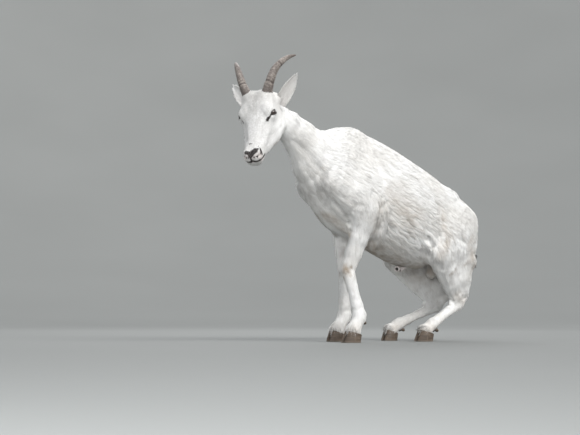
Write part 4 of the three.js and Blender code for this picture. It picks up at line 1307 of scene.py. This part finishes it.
def build_horns(looks):
    """Curved horns with growth rings that fade towards the tip and two deeper yearly grooves."""
    for index, (name, turned) in enumerate(SIDES.items()):
        piece = merged_copy([f"horn_{name}"], f"horn_{name}_sheath")
        subdivided(piece, 2)
        mesh = piece.data
        points, normals = vertex_places(mesh), vertex_normals(mesh)
        middle = horn_middle(-turned)
        nearest = np.argmin(((points[:, None] - middle[None]) ** 2).sum(2), axis=1)
        steps = np.linalg.norm(np.diff(middle, axis=0), axis=1)
        along = np.concatenate([[0], np.cumsum(steps)]) / steps.sum()
        along = along[nearest]
        lost = middle[-1] - points[np.argmax(along)]
        tip = smoothstep((along - HORN_TIP_START) / (1 - HORN_TIP_START))
        points = points + lost * tip[:, None]
        turns = HORN_RINGS * along**RING_CROWDING
        phase = 2 * math.pi * turns + RING_WAVES * wave(points, 0.05, RING_SEED + index)
        groove = (0.5 + 0.5 * np.cos(phase)) ** 3 * (1 - along) ** 0.6
        yearly = sum(hump(along, 1, at, YEAR_WIDTH) for at in HORN_YEARS)
        flare = FLARE_HEIGHT * np.exp(-along / FLARE_LENGTH)
        rough = HORN_ROUGHNESS * wave(points, 0.009, ROUGH_SEED + index) * (1 - along)
        height = flare + rough - RING_DEPTH * groove - YEAR_DEPTH * yearly
        set_vertex_places(mesh, points + normals * (height / 1000)[:, None])
        set_attribute(mesh, "along", along)
        set_attribute(mesh, "groove", np.clip(0.8 * groove + yearly, 0, 1))
        finish_piece(piece, looks, [f"horn_{name}"])


def build_sheath(looks):
    """A short open tube under the belly, with a rounded lip and painted shade inside its shallow mouth.
    """
    piece = merged_copy(["sheath"], "sheath_skin")
    subdivided(piece, 2)
    shell = bmesh.new()
    shell.from_mesh(piece.data)
    turn = Vector((0, 0, 1)).rotation_difference(Vector(SHEATH_WAY)).to_matrix()
    rings = []
    for radius, deep in SHEATH_LIP:
        ring = []
        for step in range(LIP_SIDES):
            angle = 2 * math.pi * step / LIP_SIDES
            spot = turn @ Vector((radius * math.cos(angle), radius * math.sin(angle), deep))
            ring.append(shell.verts.new(place(*(Vector(SHEATH_MOUTH) + spot))))
        rings.append(ring)
    for inner, outer in zip(rings, rings[1:]):
        for step in range(LIP_SIDES):
            after = (step + 1) % LIP_SIDES
            shell.faces.new((inner[step], inner[after], outer[after], outer[step]))
    shell.faces.new(rings[0])
    shell.faces.new(reversed(rings[-1]))
    bmesh.ops.recalc_face_normals(shell, faces=shell.faces)
    shell.to_mesh(piece.data)
    shell.free()
    off = in_body(vertex_places(piece.data)) - np.array(SHEATH_MOUTH)
    way = unit(np.array(SHEATH_WAY))
    deep = off @ way
    ring = lengths(off - np.outer(deep, way))
    marks = np.zeros((len(off), 4))
    marks[:, 1] = 0.2
    marks[:, 2] = 0.35
    # Near black inside the mouth: painted shade in a cup only a few millimetres deep
    marks[:, 3] = smoothstep((MOUTH_RADIUS - ring) / 1.5) * (np.abs(deep) < MOUTH_DEPTH)
    set_attribute(piece.data, "marks", marks)
    finish_piece(piece, looks, ["sheath"])


def build_eyes():
    for name in SIDES:
        matrix = eye_matrix(name)
        bpy.ops.object.select_all(action="DESELECT")
        bpy.ops.mesh.primitive_uv_sphere_add(segments=48, ring_count=32, radius=EYE_RADIUS)
        piece = bpy.context.object
        piece.name = f"eye_{name}_ball"
        piece.data.transform(matrix)
        finish_piece(piece, eye_material(name, matrix), [f"eye_{name}"])


# Stage


def build_stage():
    """A round floor that curves up into a wall all round, so that no horizon shows."""
    bpy.ops.object.select_all(action="DESELECT")
    bpy.ops.mesh.primitive_circle_add(vertices=FLOOR_SIDES, radius=FLOOR_RADIUS, fill_type="NGON")
    floor = bpy.context.object
    floor.name = "floor"
    bpy.ops.object.mode_set(mode="EDIT")
    bpy.ops.mesh.select_all(action="SELECT")
    radius, height = FLOOR_RADIUS, 0.0
    for step in range(1, SWEEP_STEPS + 1):
        angle = rad(SWEEP_ANGLE) * step / SWEEP_STEPS
        wider = FLOOR_RADIUS + SWEEP_RADIUS * math.sin(angle)
        higher = SWEEP_RADIUS * (1 - math.cos(angle))
        rise = {"value": (0, 0, higher - height)}
        bpy.ops.mesh.extrude_region_move(TRANSFORM_OT_translate=rise)
        if step == 1:
            bpy.ops.mesh.select_mode(type="EDGE")
        grow = (wider / radius, wider / radius, 1)
        bpy.ops.transform.resize(value=grow, center_override=(0, 0, higher))
        radius, height = wider, higher
    bpy.ops.mesh.delete(type="ONLY_FACE")
    bpy.ops.object.mode_set(mode="OBJECT")
    bpy.ops.object.shade_smooth()
    made, tree, shader = new_material("pale_floor", Roughness=0.8)
    cloudy = noise(tree, object_place(tree), 0.5, 2.0)
    colour = mix(tree, cloudy, (0.18, 0.185, 0.18, 1), (0.21, 0.215, 0.21, 1))
    wire(tree, shader, Base_Color=colour)
    floor.data.materials.append(made)


def new_light(name, kind, power, colour, way):
    data = bpy.data.lights.new(name, kind)
    data.energy = power
    data.color = colour
    light = new_object(name, data)
    light.rotation_euler = way.to_track_quat("-Z", "Y").to_euler()
    return light


def build_lights():
    world = bpy.data.worlds.new("studio")
    bpy.context.scene.world = world
    world.use_nodes = True
    back = world.node_tree.nodes["Background"]
    back.inputs["Color"].default_value = SKY_COLOUR
    back.inputs["Strength"].default_value = SKY_POWER
    sun = new_light("sun", "SUN", SUN_POWER, SUN_COLOUR, Vector(SUN_WAY))
    sun.data.angle = rad(SUN_WIDTH)
    for name, (at, size, power) in SOFT_LIGHTS.items():
        way = Vector(LIT_PLACE) - Vector(at)
        light = new_light(name, "AREA", power, SOFT_COLOUR, way)
        light.data.size = size
        light.location = at
        light.visible_camera = False


def build_camera():
    data = bpy.data.cameras.new("camera")
    data.sensor_width = SENSOR_WIDTH
    data.lens = CAMERA_LENS
    data.clip_end = 200
    camera = new_object("camera", data)
    camera.location = Vector(CAMERA_AT) + SHIFT
    camera.rotation_euler = (rad(90 + CAMERA_RISE), 0, rad(CAMERA_AZIMUTH))
    bpy.context.scene.camera = camera


build_camera()
build_stage()
build_lights()
bpy.context.scene.view_settings.view_transform = "Standard"

markings = coat_group()
skin_looks = coat_material("skin_and_short_hair", markings, 0.5)
hair_looks = coat_material("hair", markings, 0.2)
skin, parts, owners, hair = build_skin(skin_looks)
build_all_coats(skin, parts, owners, hair, hair_looks)
build_ears(skin_looks, hair_looks)
build_horns(horn_material())
build_copies(hoof_material())
build_sheath(skin_looks)
build_eyes()
